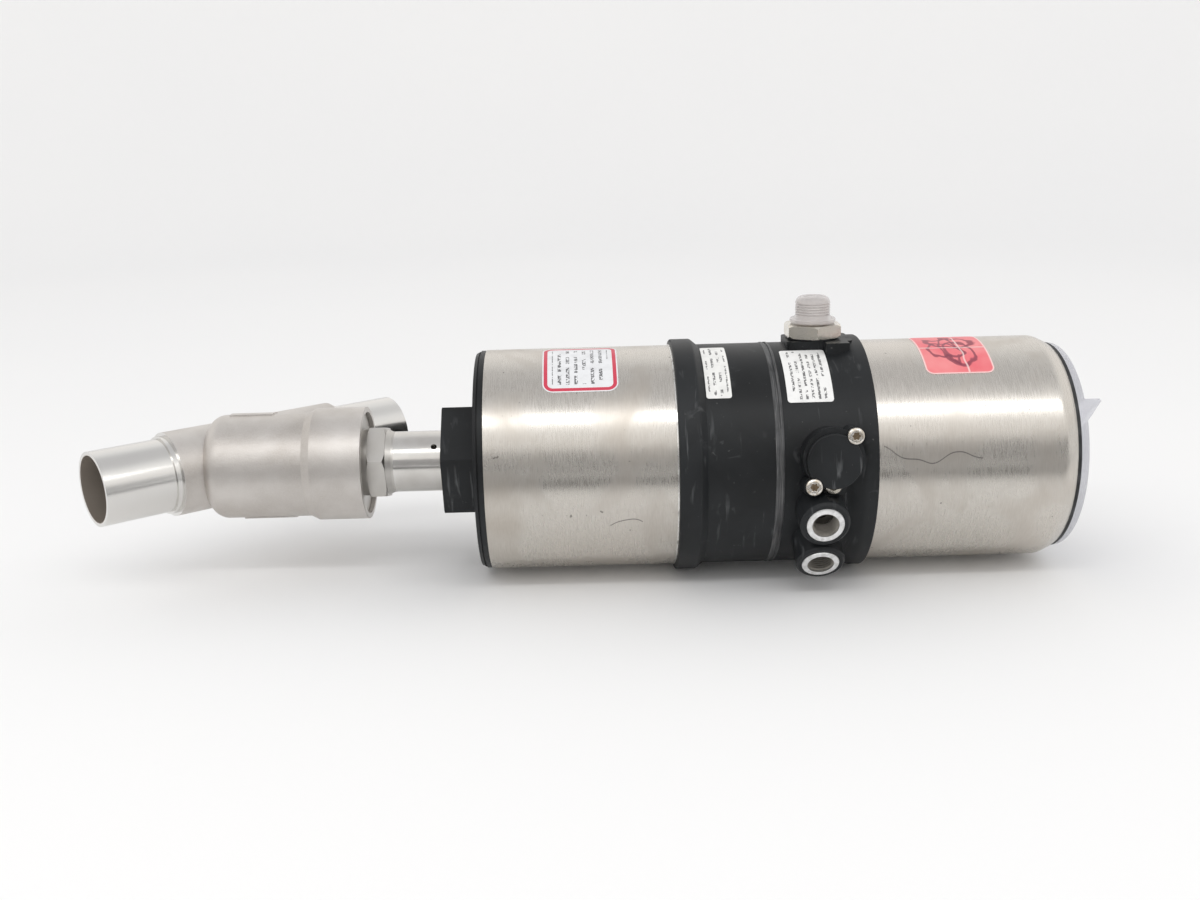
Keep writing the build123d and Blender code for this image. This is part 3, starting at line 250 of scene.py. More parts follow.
# Strength of the room's light from level to overhead: place on the ramp, then red, green, blue.
ROOM_LIGHT = ((0.0, 0.80, 0.79, 0.78), (0.45, 1.0, 0.98, 0.96), (0.78, 0.90, 0.90, 0.90),
              (0.90, 0.66, 0.66, 0.67), (1.0, 0.60, 0.60, 0.61))
ROOM_STRENGTH = 1.09
world = bpy.data.worlds.new("white_room")
world.use_nodes = True
bpy.context.scene.world = world
tree = world.node_tree
direction = add(tree, "ShaderNodeTexCoord").outputs["Generated"]
height = add(tree, "ShaderNodeSeparateXYZ", {0: direction}).outputs["Z"]
room = add(tree, "ShaderNodeValToRGB", {0: height})
ramp = room.color_ramp
while len(ramp.elements) < len(ROOM_LIGHT):
    ramp.elements.new(0.5)
for element, (position, *colour) in zip(ramp.elements, ROOM_LIGHT):
    element.position = position
    element.color = (*colour, 1)
tree.links.new(room.outputs[0], tree.nodes["Background"].inputs["Color"])
tree.nodes["Background"].inputs["Strength"].default_value = ROOM_STRENGTH


# ---- flow body -------------------------------------------------------------------------
# One stainless investment casting, bead-blasted, with a dull warm grain. Both pipe ends and
# the collar's rim are turned bright afterwards.

MM = 0.001
TURNED_END = 29.3
RIM_DEPTH = 0.4
OUTLET_FROM_AXIS = 20.0
BORE_RADIUS = 13.0
BORE_MARGIN = 0.2

nodes = frame["nodes"]
mounts = {mount["name"]: mount for mount in frame["record"]["mounts"]}
inlet = mounts["inlet_weld_end"]
pipe_way = -Vector(inlet["axis"])
face_to_face = (Vector(mounts["outlet_weld_end"]["pos_m"]) - Vector(inlet["pos_m"])).length / MM


def calc(tree, operation, *values):
    """One Math node on numbers or sockets."""
    return add(tree, "ShaderNodeMath", enumerate(values), operation=operation).outputs[0]


def spread(tree, value, low, high, to_low=0.0, to_high=1.0):
    """Maps low..high to to_low..to_high, and holds the ends beyond them."""
    limits = {"Value": value, "From Min": low, "From Max": high,
              "To Min": to_low, "To Max": to_high}
    return add(tree, "ShaderNodeMapRange", limits).outputs["Result"]


def paint(finish, *names):
    """Gives carried-over CAD nodes their finish."""
    for name in names:
        data = nodes[name].data
        data.materials.clear()
        data.materials.append(finish)


casting, tree, shader, place = new_finish("blasted_casting", (0.60, 0.57, 0.54), 0.45, 1.0)
station = add(tree, "ShaderNodeVectorMath", {0: place, 1: pipe_way / MM},
              operation="DOT_PRODUCT").outputs["Value"]
spot = add(tree, "ShaderNodeSeparateXYZ", {0: place}).outputs
behind_axis = calc(tree, "SUBTRACT", spot["Y"], axis_y)
near_inlet = calc(tree, "LESS_THAN", station, TURNED_END)
near_outlet = calc(tree, "GREATER_THAN", station, face_to_face - TURNED_END)
on_rim = calc(tree, "GREATER_THAN", spot["X"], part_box("valve_body")[1].x - RIM_DEPTH * MM)
outlet_side = calc(tree, "MULTIPLY", near_outlet,
                   calc(tree, "GREATER_THAN", behind_axis, OUTLET_FROM_AXIS * MM))
turned_part = calc(tree, "MAXIMUM", calc(tree, "MAXIMUM", near_inlet, outlet_side), on_rim)
blast = grain(tree, place, 2400, 3.0)
pits = grain(tree, place, 900, 2.0)
waves = grain(tree, place, 130, 2.0)
stain = grain(tree, place, 45, 4.0)
rings = grain(tree, add(tree, "ShaderNodeCombineXYZ", {0: station}).outputs[0], 4.0, 2.0)
cast_tone = blend_colour(tree, spread(tree, stain, 0.35, 0.68), (0.66, 0.63, 0.60),
                         (0.50, 0.465, 0.43))
cast_tone = blend_colour(tree, spread(tree, blast, 0.35, 0.7, 0.0, 0.35), cast_tone,
                         (0.74, 0.72, 0.70))
bright_tone = blend_colour(tree, spread(tree, rings, 0.3, 0.7), (0.74, 0.73, 0.71),
                           (0.68, 0.665, 0.64))
from_inlet = add(tree, "ShaderNodeVectorMath", {0: place, 1: inlet["pos_m"]},
                 operation="SUBTRACT").outputs[0]
off_axis = add(tree, "ShaderNodeVectorMath", {0: from_inlet, 1: pipe_way},
               operation="CROSS_PRODUCT").outputs[0]
from_pipe_axis = add(tree, "ShaderNodeVectorMath", {0: off_axis},
                     operation="LENGTH").outputs["Value"]
near_pipe_axis = calc(tree, "LESS_THAN", from_pipe_axis, (BORE_RADIUS + BORE_MARGIN) * MM)
in_bore = calc(tree, "MULTIPLY", near_pipe_axis, calc(tree, "MAXIMUM", near_inlet, near_outlet))
tone = blend_colour(tree, turned_part, cast_tone, bright_tone)
# Inside the bore the tone is painted darker and browner as painted shade, and the metal is made
# less metallic there.
tone = blend_colour(tree, calc(tree, "MULTIPLY", in_bore, 0.9), tone,
                    blend_colour(tree, stain, (0.40, 0.35, 0.30), (0.28, 0.24, 0.20)))
join(tree, tone, shader, "Base Color")
join(tree, spread(tree, in_bore, 0.0, 1.0, 1.0, 0.45), shader, "Metallic")
rough_cast = spread(tree, blast, 0.3, 0.7, 0.40, 0.52)
rough_turned = spread(tree, stain, 0.35, 0.7, 0.16, 0.27)
rough = calc(tree, "ADD", calc(tree, "MULTIPLY", turned_part, rough_turned),
             calc(tree, "MULTIPLY", calc(tree, "SUBTRACT", 1.0, turned_part), rough_cast))
join(tree, rough, shader, "Roughness")
cast_height = calc(tree, "MULTIPLY", calc(tree, "SUBTRACT", 1.0, turned_part),
                   calc(tree, "ADD", calc(tree, "MULTIPLY", waves, 2.4),
                        calc(tree, "ADD", blast, calc(tree, "MULTIPLY", pits, 0.8))))
ring_height = calc(tree, "MULTIPLY", turned_part, calc(tree, "MULTIPLY", rings, 0.12))
join(tree, relief(tree, calc(tree, "ADD", cast_height, ring_height), 0.00005), shader, "Normal")
paint(casting, "valve_body")


# ---- neck and stem -----------------------------------------------------------------------
# The nipple is turned from bar: a satin hexagon and a polished neck. The stem set inside is
# ground and turned from the same stainless.

SATIN_LENGTH = 29.0

turned_steel, tree, shader, place = new_finish("turned_stainless", (0.68, 0.665, 0.64), 0.2, 1.0)
lines = grain(tree, place, (3200, 40, 40), 2.0)
haze = grain(tree, place, 70, 3.0)
tone = blend_colour(tree, spread(tree, haze, 0.35, 0.7), (0.72, 0.705, 0.68), (0.60, 0.58, 0.55))
place_x = add(tree, "ShaderNodeSeparateXYZ", {0: place}).outputs["X"]
satin_and_shaded_hex = calc(tree, "LESS_THAN", place_x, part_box("nipple")[0].x + SATIN_LENGTH * MM)
# The hexagon's tone is painted darker: painted shade. Its higher roughness is the satin finish.
tone = blend_colour(tree, calc(tree, "MULTIPLY", satin_and_shaded_hex, 0.4), tone, (0.36, 0.34, 0.31))
join(tree, tone, shader, "Base Color")
join(tree, calc(tree, "ADD", spread(tree, haze, 0.3, 0.7, 0.15, 0.25),
                calc(tree, "MULTIPLY", satin_and_shaded_hex, 0.16)), shader, "Roughness")
join(tree, relief(tree, lines, 0.000006), shader, "Normal")
paint(turned_steel, "nipple", "stem", "plug_cone", "plug_holder", "plug_pin", "feedback_rod")


# ---- closing springs and small spring parts ------------------------------------------------
# Two round-wire coils, one in the other and wound opposite ways, stand between the piston and
# the bulkhead.

SPRING_STEPS = 40
WIRE_SIDES = 16

# node, wire diameter in mm, turns, and the way it is wound
SPRINGS = (("main_spring", 4.5, 6, 1), ("inner_spring", 3.2, 7, -1))

spring_wire, tree, shader, place = new_finish("spring_wire", (0.34, 0.34, 0.35), 0.35, 1.0)
smear = grain(tree, place, 160, 3.0)
join(tree, blend_colour(tree, smear, (0.42, 0.42, 0.43), (0.24, 0.235, 0.23)), shader,
     "Base Color")
join(tree, spread(tree, smear, 0.3, 0.7, 0.25, 0.5), shader, "Roughness")
join(tree, relief(tree, grain(tree, place, 2500), 0.00001), shader, "Normal")
paint(spring_wire, "packing_spring", "snap_ring", "feedback_magnet")

for name, wire, turns, hand in SPRINGS:
    low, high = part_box(name)
    coil_radius = (high.z - low.z - wire * MM) / 2
    length = high.x - low.x - wire * MM
    bm = bmesh.new()
    start = Matrix.Translation((low.x + wire / 2 * MM, axis_y + coil_radius, axis_z))
    bmesh.ops.create_circle(bm, cap_ends=True, segments=WIRE_SIDES, radius=wire / 2 * MM,
                            matrix=start)
    bmesh.ops.spin(bm, geom=bm.faces[:], cent=(0, axis_y, axis_z), axis=(1, 0, 0),
                   dvec=(length / turns / SPRING_STEPS, 0, 0), angle=math.tau * turns * hand,
                   steps=SPRING_STEPS * turns, use_merge=False)
    piece = new_piece(f"wound_{name}", bm, spring_wire, "actuator", [name])
    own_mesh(piece)


# ---- white seals and bronze bushes ---------------------------------------------------------
# Gasket, packing rings, plug seal and sensor tube are white fluoroplastic. The gland and the
# two guide bushes are turned bronze.

fluoroplastic, tree, shader, place = new_finish("white_fluoroplastic", (0.82, 0.81, 0.78), 0.4)
cloud = grain(tree, place, 200, 3.0)
join(tree, blend_colour(tree, cloud, (0.86, 0.85, 0.82), (0.76, 0.745, 0.71)), shader,
     "Base Color")
join(tree, relief(tree, grain(tree, place, 3000), 0.00001), shader, "Normal")
paint(fluoroplastic, "body_gasket", "packing_rings", "plug_seal", "sensor_tube")

bronze, tree, shader, place = new_finish("bush_bronze", (0.55, 0.40, 0.21), 0.3, 1.0)
patches = grain(tree, place, 240, 3.0)
join(tree, blend_colour(tree, patches, (0.62, 0.46, 0.25), (0.42, 0.30, 0.16)), shader,
     "Base Color")
join(tree, spread(tree, patches, 0.3, 0.7, 0.24, 0.42), shader, "Roughness")
join(tree, relief(tree, grain(tree, place, (3000, 60, 60)), 0.00001), shader, "Normal")
paint(bronze, "gland", "stem_bush", "rod_bush")


# ---- brushed shells ----------------------------------------------------------------------
# Actuator shell and positioner shell are deep-drawn stainless, brushed round the cylinder.
# Handling has left stains, small dark marks and a few hairline scratches.

head_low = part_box("positioner_shell")[0]

# each hairline scratch: where it starts and ends along the axis, height over it, and sway
HAIRLINES = ((head_low.x + 2 * MM, head_low.x + 38 * MM, 9 * MM, 26 * MM),
             (shell_low.x + 46 * MM, shell_low.x + 58 * MM, -17 * MM, 30 * MM))
HAIRLINE_CORE = 0.12 * MM
HAIRLINE_EDGE = 0.3 * MM

brushed, tree, shader, place = new_finish("brushed_stainless", (0.66, 0.635, 0.60), 0.3, 1.0)
strokes = grain(tree, place, (3600, 200, 200), 2.0)
fine = grain(tree, place, (7000, 420, 420), 1.0)
bands = grain(tree, place, (28, 9, 9), 3.0)
stains = grain(tree, place, 42, 5.0, 0.6)
specks = grain(tree, place, 330, 2.0)
brush = calc(tree, "ADD", calc(tree, "MULTIPLY", strokes, 0.65),
             calc(tree, "MULTIPLY", fine, 0.35))
tone = blend_colour(tree, spread(tree, brush, 0.30, 0.70), (0.56, 0.53, 0.485),
                    (0.67, 0.64, 0.595))
tone = blend_colour(tree, spread(tree, stains, 0.50, 0.72, 0.0, 0.5), tone,
                    (0.45, 0.40, 0.34))
tone = blend_colour(tree, spread(tree, bands, 0.45, 0.75, 0.0, 0.35), tone, (0.66, 0.61, 0.56))
tone = blend_colour(tree, spread(tree, specks, 0.735, 0.77, 0.0, 0.7), tone,
                    (0.14, 0.13, 0.12))
spot = add(tree, "ShaderNodeSeparateXYZ", {0: place}).outputs
on_front = calc(tree, "LESS_THAN", spot["Y"], axis_y)
for start, end, height, sway in HAIRLINES:
    course = grain(tree, add(tree, "ShaderNodeCombineXYZ", {0: spot["X"], 1: height}).outputs[0],
                   42, 1.0)
    level = calc(tree, "ADD", axis_z + height - sway / 2, calc(tree, "MULTIPLY", course, sway))
    off_line = calc(tree, "ABSOLUTE", calc(tree, "SUBTRACT", spot["Z"], level))
    within = calc(tree, "MULTIPLY", calc(tree, "GREATER_THAN", spot["X"], start),
                  calc(tree, "LESS_THAN", spot["X"], end))
    scratch = calc(tree, "MULTIPLY", calc(tree, "MULTIPLY", within, on_front),
                   spread(tree, off_line, HAIRLINE_CORE, HAIRLINE_EDGE, 0.7, 0.0))
    tone = blend_colour(tree, scratch, tone, (0.12, 0.11, 0.11))
join(tree, tone, shader, "Base Color")
rough = calc(tree, "ADD", spread(tree, brush, 0.35, 0.65, 0.23, 0.31),
             spread(tree, stains, 0.45, 0.75, 0.0, 0.12))
join(tree, rough, shader, "Roughness")
join(tree, relief(tree, brush, 0.000004), shader, "Normal")
paint(brushed, "actuator_shell", "positioner_shell")

bright_edge, tree, shader, place = new_finish("bright_edge", (0.78, 0.77, 0.74), 0.25, 1.0)
nicks = grain(tree, place, 260, 3.0)
join(tree, blend_colour(tree, spread(tree, nicks, 0.5, 0.7), (0.82, 0.81, 0.78),
                        (0.45, 0.43, 0.40)), shader, "Base Color")
join(tree, spread(tree, nicks, 0.4, 0.7, 0.18, 0.4), shader, "Roughness")
join(tree, relief(tree, nicks, 0.00002), shader, "Normal")
paint(bright_edge, "edge_ring")


# ---- black mouldings ---------------------------------------------------------------------
# Base, housing, positioner base and cover are glass-filled black plastic with a fine mould
# grain. Rubbing has left pale scuffs in scattered patches.

black, tree, shader, place = new_finish("black_moulding", (0.012, 0.013, 0.015), 0.42)
mould = grain(tree, place, 2600, 2.0)
haze = grain(tree, place, 38, 4.0, 0.4)
rub = grain(tree, place, (420, 60, 60), 3.0, 0.5)
dust = grain(tree, place, 700, 2.0)
tone = blend_colour(tree, spread(tree, haze, 0.38, 0.7), (0.007, 0.008, 0.009),
                    (0.016, 0.018, 0.020))
smudge = calc(tree, "MULTIPLY", spread(tree, grain(tree, place, 150, 4.0, 0.9), 0.58, 0.74),
              spread(tree, grain(tree, place, 52, 1.0), 0.55, 0.66))
worn = calc(tree, "MAXIMUM", calc(tree, "MULTIPLY", smudge, 0.8),
            calc(tree, "MULTIPLY", spread(tree, rub, 0.60, 0.74), spread(tree, haze, 0.46, 0.62)))
tone = blend_colour(tree, calc(tree, "MULTIPLY", worn, 0.6), tone, (0.15, 0.155, 0.16))
tone = blend_colour(tree, spread(tree, dust, 0.72, 0.80, 0.0, 0.4), tone, (0.16, 0.16, 0.155))
join(tree, tone, shader, "Base Color")
join(tree, calc(tree, "ADD", spread(tree, haze, 0.3, 0.7, 0.40, 0.52),
                calc(tree, "MULTIPLY", worn, 0.15)), shader, "Roughness")
join(tree, relief(tree, mould, 0.00002), shader, "Normal")
shader.inputs["Specular IOR Level"].default_value = 0.3
paint(black, "actuator_base", "actuator_housing", "positioner_base", "relief_cover",
      "cylinder_liner", "piston", "bayonet_ring", "keypad_frame")

rubber, tree, shader, place = new_finish("seal_rubber", (0.02, 0.02, 0.021), 0.6)
bloom = grain(tree, place, 150, 4.0)
join(tree, blend_colour(tree, spread(tree, bloom, 0.45, 0.7), (0.012, 0.013, 0.014),
                        (0.05, 0.052, 0.055)), shader, "Base Color")
join(tree, spread(tree, bloom, 0.3, 0.7, 0.5, 0.7), shader, "Roughness")
join(tree, relief(tree, grain(tree, place, 1800), 0.00003), shader, "Normal")
paint(rubber, "stem_seal", "shell_o_rings", "piston_seal", "rod_seal", "m12_gasket",
      "cap_seal")

rubbed, tree, shader, place = new_finish("rubbed_seam", (0.06, 0.06, 0.062), 0.5)
lines = grain(tree, place, (2600, 90, 90), 2.0)
wear = grain(tree, place, 60, 4.0, 0.5)
tone = blend_colour(tree, spread(tree, wear, 0.35, 0.65), (0.025, 0.026, 0.028),
                    (0.10, 0.102, 0.105))
join(tree, blend_colour(tree, spread(tree, lines, 0.5, 0.7, 0.0, 0.6), tone, (0.19, 0.19, 0.19)),
     shader, "Base Color")
join(tree, spread(tree, wear, 0.3, 0.7, 0.42, 0.58), shader, "Roughness")
join(tree, relief(tree, lines, 0.00003), shader, "Normal")
paint(rubbed, "seam_ring")


# ---- screws and plated fittings ------------------------------------------------------------
# The housing screws and the piston nut are steel, plated with bright zinc. The plug
# connector's nut is brass under satin nickel, and its contacts have a flash of gold.

zinc, tree, shader, place = new_finish("bright_zinc", (0.72, 0.69, 0.64), 0.25, 1.0)
wear = grain(tree, place, 900, 3.0)
join(tree, blend_colour(tree, spread(tree, wear, 0.42, 0.65), (0.80, 0.77, 0.72),
                        (0.48, 0.42, 0.34)), shader, "Base Color")
join(tree, spread(tree, wear, 0.3, 0.7, 0.16, 0.36), shader, "Roughness")
join(tree, relief(tree, wear, 0.00003), shader, "Normal")
paint(zinc, "housing_screws", "piston_nut")

nickel, tree, shader, place = new_finish("satin_nickel", (0.70, 0.665, 0.60), 0.28, 1.0)
plate = grain(tree, place, 160, 3.0)
join(tree, blend_colour(tree, spread(tree, plate, 0.4, 0.7), (0.74, 0.70, 0.63),
                        (0.64, 0.60, 0.52)), shader, "Base Color")
join(tree, spread(tree, plate, 0.3, 0.7, 0.16, 0.28), shader, "Roughness")
join(tree, relief(tree, grain(tree, place, 2600), 0.000004), shader, "Normal")
paint(nickel, "m12_nut")

gold, tree, shader, place = new_finish("gold_flash", (0.83, 0.62, 0.26), 0.25, 1.0)
flash = grain(tree, place, 900, 2.0)
join(tree, blend_colour(tree, flash, (0.88, 0.68, 0.30), (0.70, 0.50, 0.20)), shader,
     "Base Color")
join(tree, spread(tree, flash, 0.3, 0.7, 0.2, 0.34), shader, "Roughness")
paint(gold, "m12_contacts")


# ---- cover screws ----------------------------------------------------------------------------
# Two zinc-plated pan-head screws hold the relief cover down on the housing. Each has a
# six-lobe recess pressed into its head, and the recess is painted dark as painted shade.

SCREW_STEPS = 48
LOBES = 6
LOBE_RADIUS = 1.35
LOBE_SWELL = 0.17
LOBE_TAPER = 0.85
RECESS_DEPTH = 1.2
HEAD_HEIGHT = 1.8
SHANK_RADIUS = 1.5
SHANK_LENGTH = 8.0


def span(name, place, side=0):
    """Lowest and highest corners of a CAD node, or of its half on one side, as a place sees it."""
    low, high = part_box(name)
    points = [place.inverted() @ vert.co for vert in nodes[name].data.vertices
              if (vert.co.x - (low.x + high.x) / 2) * side >= 0]
    return [Vector(end(point[i] for point in points) for i in range(3)) for end in (min, max)]


# The recess finish is dark brown: painted shade in the recess.
painted_recess_shade, tree, shader, place = new_finish("painted_recess_shade", (0.10, 0.07, 0.04), 0.55, 0.6)
recess_mottle = grain(tree, place, 1400, 3.0)
join(tree, blend_colour(tree, recess_mottle, (0.05, 0.035, 0.02), (0.22, 0.16, 0.10)), shader, "Base Color")
join(tree, relief(tree, recess_mottle, 0.00003), shader, "Normal")

cover_low, cover_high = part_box("relief_cover")
cover_middle = (cover_low + cover_high) / 2
cover_out = Vector((0, cover_middle.y - axis_y, cover_middle.z - axis_z)).normalized()
cover_turn = Matrix((along, cover_out.cross(along), cover_out)).transposed().to_4x4()

bm = bmesh.new()
for side in (-1, 1):
    low, high = span("cover_screws", cover_turn, side)
    head = (high.x - low.x) / 2 / MM
    middle = Vector(((low.x + high.x) / 2, (low.y + high.y) / 2, high.z))
    outline = ((1.75, 0.0), (head - 0.6, -0.15), (head - 0.15, -0.5), (head, -1.0),
               (head, -HEAD_HEIGHT), (SHANK_RADIUS, -HEAD_HEIGHT),
               (SHANK_RADIUS, 0.5 - SHANK_LENGTH), (SHANK_RADIUS - 0.4, -SHANK_LENGTH),
               (0.1, -SHANK_LENGTH))
    rim = bmesh.ops.create_circle(bm, cap_ends=True, segments=SCREW_STEPS, radius=MM)["verts"]
    cap = rim[0].link_faces[0]
    cap.material_index = 1
    for vert in rim:
        lobe = 1 + LOBE_SWELL * math.cos(LOBES * math.atan2(vert.co.y, vert.co.x))
        vert.co = vert.co.normalized() * LOBE_RADIUS * lobe * MM
        vert.co.z = -0.1 * MM
    edges = list(cap.edges)
    made = rim[:]
    for radius, height in outline:
        grown = bmesh.ops.extrude_edge_only(bm, edges=edges)["geom"]
        edges = [item for item in grown if isinstance(item, bmesh.types.BMEdge)]
        for face in (item for item in grown if isinstance(item, bmesh.types.BMFace)):
            face.material_index = 0
        for vert in (item for item in grown if isinstance(item, bmesh.types.BMVert)):
            flat = Vector((vert.co.x, vert.co.y, 0)).normalized() * radius * MM
            vert.co = flat + Vector((0, 0, height * MM))
            made.append(vert)
    bmesh.ops.holes_fill(bm, edges=edges, sides=SCREW_STEPS)
    sunk = bmesh.ops.extrude_face_region(bm, geom=[cap])["geom"]
    floor_verts = [item for item in sunk if isinstance(item, bmesh.types.BMVert)]
    bmesh.ops.translate(bm, vec=(0, 0, -RECESS_DEPTH * MM), verts=floor_verts)
    bmesh.ops.scale(bm, vec=(LOBE_TAPER, LOBE_TAPER, 1), verts=floor_verts)
    for item in sunk:
        if isinstance(item, bmesh.types.BMVert):
            for face in item.link_faces:
                face.material_index = 1
    place = cover_turn @ Matrix.Translation(middle)
    bmesh.ops.transform(bm, matrix=place, verts=made + floor_verts)
piece = new_piece("lobed_screws", bm, zinc, "actuator", ["cover_screws"])
# The second finish, on the recess faces, is painted shade.
piece.data.materials.append(painted_recess_shade)


# ---- plug connector ------------------------------------------------------------------------
# The M12 sleeve is turned from brass and nickel-plated, with a thread outside and a cavity
# for the contacts in its end. Its lower end is held inside the positioner.

SLEEVE = 6.0
SLEEVE_ROOT = 5.4
SLEEVE_PITCH = 1.0
SLEEVE_THREAD = 13.0
SLEEVE_CAVITY = 4.3
SLEEVE_CAVITY_DEPTH = 8.0
SLEEVE_LENGTH = 25.0


def lathe(bm, outline, steps=72):
    """Turns a (radius, height) outline, in mm, about Z; one that ends off the axis is closed."""
    verts = [bm.verts.new((radius * MM, 0, height * MM)) for radius, height in outline]
    first = 1 if outline[0][0] == outline[-1][0] == 0 else 0
    edges = [bm.edges.new((verts[i - 1], verts[i])) for i in range(first, len(verts))]
    bmesh.ops.spin(bm, geom=verts + edges, cent=(0, 0, 0), axis=(0, 0, 1), dvec=(0, 0, 0),
                   angle=math.tau, steps=steps, use_merge=True)
    bmesh.ops.remove_doubles(bm, verts=bm.verts, dist=0.000001)


def thread(bm, root, crest, pitch, low, high, steps=40):
    """A V-shaped helical ridge about Z; its root is sunk a little into the wall."""
    sunk = root + (root - crest) * 0.15
    corners = [bm.verts.new((radius * MM, 0, (low + rise) * MM))
               for radius, rise in ((sunk, 0), (crest, pitch * 0.5), (sunk, pitch * 0.96))]
    face = bm.faces.new(corners)
    turns = (high - low) / pitch - 1
    bmesh.ops.spin(bm, geom=[face], cent=(0, 0, 0), axis=(0, 0, 1),
                   dvec=(0, 0, pitch * MM / steps), angle=turns * math.tau,
                   steps=round(turns * steps), use_merge=False)


def outward_place(mount, lift):
    """Matrix that stands a part on a mount: its Z is the mount's axis, lift is in mm."""
    out = Vector(mount["axis"])
    across = out.cross(along)
    turn = Matrix((along, across, out)).transposed().to_4x4()
    return Matrix.Translation(Vector(mount["pos_m"]) + out * lift * MM) @ turn


bm = bmesh.new()
lathe(bm, [
    (0, -SLEEVE_LENGTH), (SLEEVE_ROOT, -SLEEVE_LENGTH), (SLEEVE_ROOT, -0.4),
    (SLEEVE_ROOT - 0.4, 0), (SLEEVE_CAVITY, 0), (SLEEVE_CAVITY, -SLEEVE_CAVITY_DEPTH),
    (0, -SLEEVE_CAVITY_DEPTH),
])
thread(bm, SLEEVE_ROOT, SLEEVE, SLEEVE_PITCH, -SLEEVE_THREAD, -0.3)
bm.transform(outward_place(mounts["m12_plug"], 0.0))
new_piece("threaded_sleeve", bm, nickel, "actuator", ["m12_connector"])


# ---- air ports -------------------------------------------------------------------------------
# Two pale metal inserts are moulded into their bosses, each with a G 1/8 thread cut inside.
# Handling keeps the flat rim clean, and the thread inside is painted dark as painted shade.

PORT_OUTER = 6.9
PORT_ROOT = 4.86
PORT_CREST = 4.29
PORT_PITCH = 0.907
PORT_DEPTH = 9.0
PORT_FLOOR = 3.0
PORT_BORE = 2.3
PORT_PROUD = 2.0


def port_finish(name, mount):
    """Pale metal on the flat rim, and metal painted dark inside the thread as painted shade."""
    made, tree, shader, place = new_finish(name, (0.80, 0.80, 0.80), 0.35, 0.6)
    offset = add(tree, "ShaderNodeVectorMath", {0: place, 1: mount["pos_m"]},
                 operation="SUBTRACT").outputs[0]
    crossed = add(tree, "ShaderNodeVectorMath", {0: offset, 1: mount["axis"]},
                  operation="CROSS_PRODUCT").outputs[0]
    off_axis = add(tree, "ShaderNodeVectorMath", {0: crossed}, operation="LENGTH").outputs["Value"]
    cloud = grain(tree, place, 500, 3.0)
    pale = blend_colour(tree, spread(tree, cloud, 0.4, 0.7), (0.84, 0.84, 0.84),
                        (0.62, 0.62, 0.61))
    # Inside the thread the metal is painted dark: painted shade.
    painted_thread_shade = blend_colour(tree, cloud, (0.14, 0.13, 0.11), (0.30, 0.28, 0.25))
    inside = spread(tree, off_axis, (PORT_ROOT - 0.02) * MM, (PORT_ROOT + 0.04) * MM, 1.0, 0.0)
    join(tree, blend_colour(tree, inside, pale, painted_thread_shade), shader, "Base Color")
    join(tree, spread(tree, cloud, 0.3, 0.7, 0.28, 0.45), shader, "Roughness")
    join(tree, relief(tree, cloud, 0.00002), shader, "Normal")
    return made


for name in ("upper", "lower"):
    mount = mounts[f"air_port_{name}"]
    bm = bmesh.new()
    lathe(bm, [
        (PORT_BORE, -PORT_DEPTH - PORT_FLOOR), (PORT_OUTER, -PORT_DEPTH - PORT_FLOOR),
        (PORT_OUTER, -0.5), (PORT_OUTER - 0.15, -0.15), (PORT_OUTER - 0.5, 0),
        (PORT_ROOT + 0.06, 0), (PORT_ROOT, -0.08), (PORT_ROOT, -PORT_DEPTH),
        (PORT_BORE, -PORT_DEPTH),
    ])
    thread(bm, PORT_ROOT, PORT_CREST, PORT_PITCH, -PORT_DEPTH + 0.3, -0.1)
    bm.transform(outward_place(mount, PORT_PROUD))
    metal = port_finish(f"port_metal_{name}", mount)
    new_piece(f"threaded_insert_{name}", bm, metal, "actuator",
              [f"port_insert_{name}"])
paint(nickel, "vent_plug")


# ---- clear cap -------------------------------------------------------------------------------
# The twist-off cap is moulded in clear plastic that has gone slightly grey and lavender, with
# faint scuffs. The display and the keys are seen through it.

cap_plastic, tree, shader, place = new_finish("clear_cap", (0.36, 0.365, 0.45), 0.18)
scuff = grain(tree, place, 90, 4.0, 0.5)
join(tree, blend_colour(tree, spread(tree, scuff, 0.4, 0.7), (0.40, 0.405, 0.49),
                        (0.33, 0.335, 0.41)), shader, "Base Color")
join(tree, spread(tree, scuff, 0.35, 0.7, 0.12, 0.26), shader, "Roughness")
shader.inputs["Alpha"].default_value = 0.34
join(tree, relief(tree, scuff, 0.00001), shader, "Normal")
paint(cap_plastic, "clear_cap")


# ---- dust cap --------------------------------------------------------------------------------
# A soft milky cap pushed over the connector's thread. It takes up the thread's rings, and it
# has a flared flange below and a dished top.

RING_PITCH = 1.0
RING_RISE = 0.3
CAP_GAP = 0.25
CAP_WALL = 0.5
RINGS_FROM_FOOT = 3.2
RINGS_FROM_TOP = 2.0

milky, tree, shader, place = new_finish("milky_cap", (0.70, 0.66, 0.65), 0.25)
cloud = grain(tree, place, 120, 3.0)
join(tree, blend_colour(tree, cloud, (0.76, 0.72, 0.71), (0.60, 0.565, 0.555)), shader,
     "Base Color")
join(tree, spread(tree, cloud, 0.3, 0.7, 0.18, 0.32), shader, "Roughness")
shader.inputs["Alpha"].default_value = 0.55
join(tree, relief(tree, cloud, 0.00001), shader, "Normal")

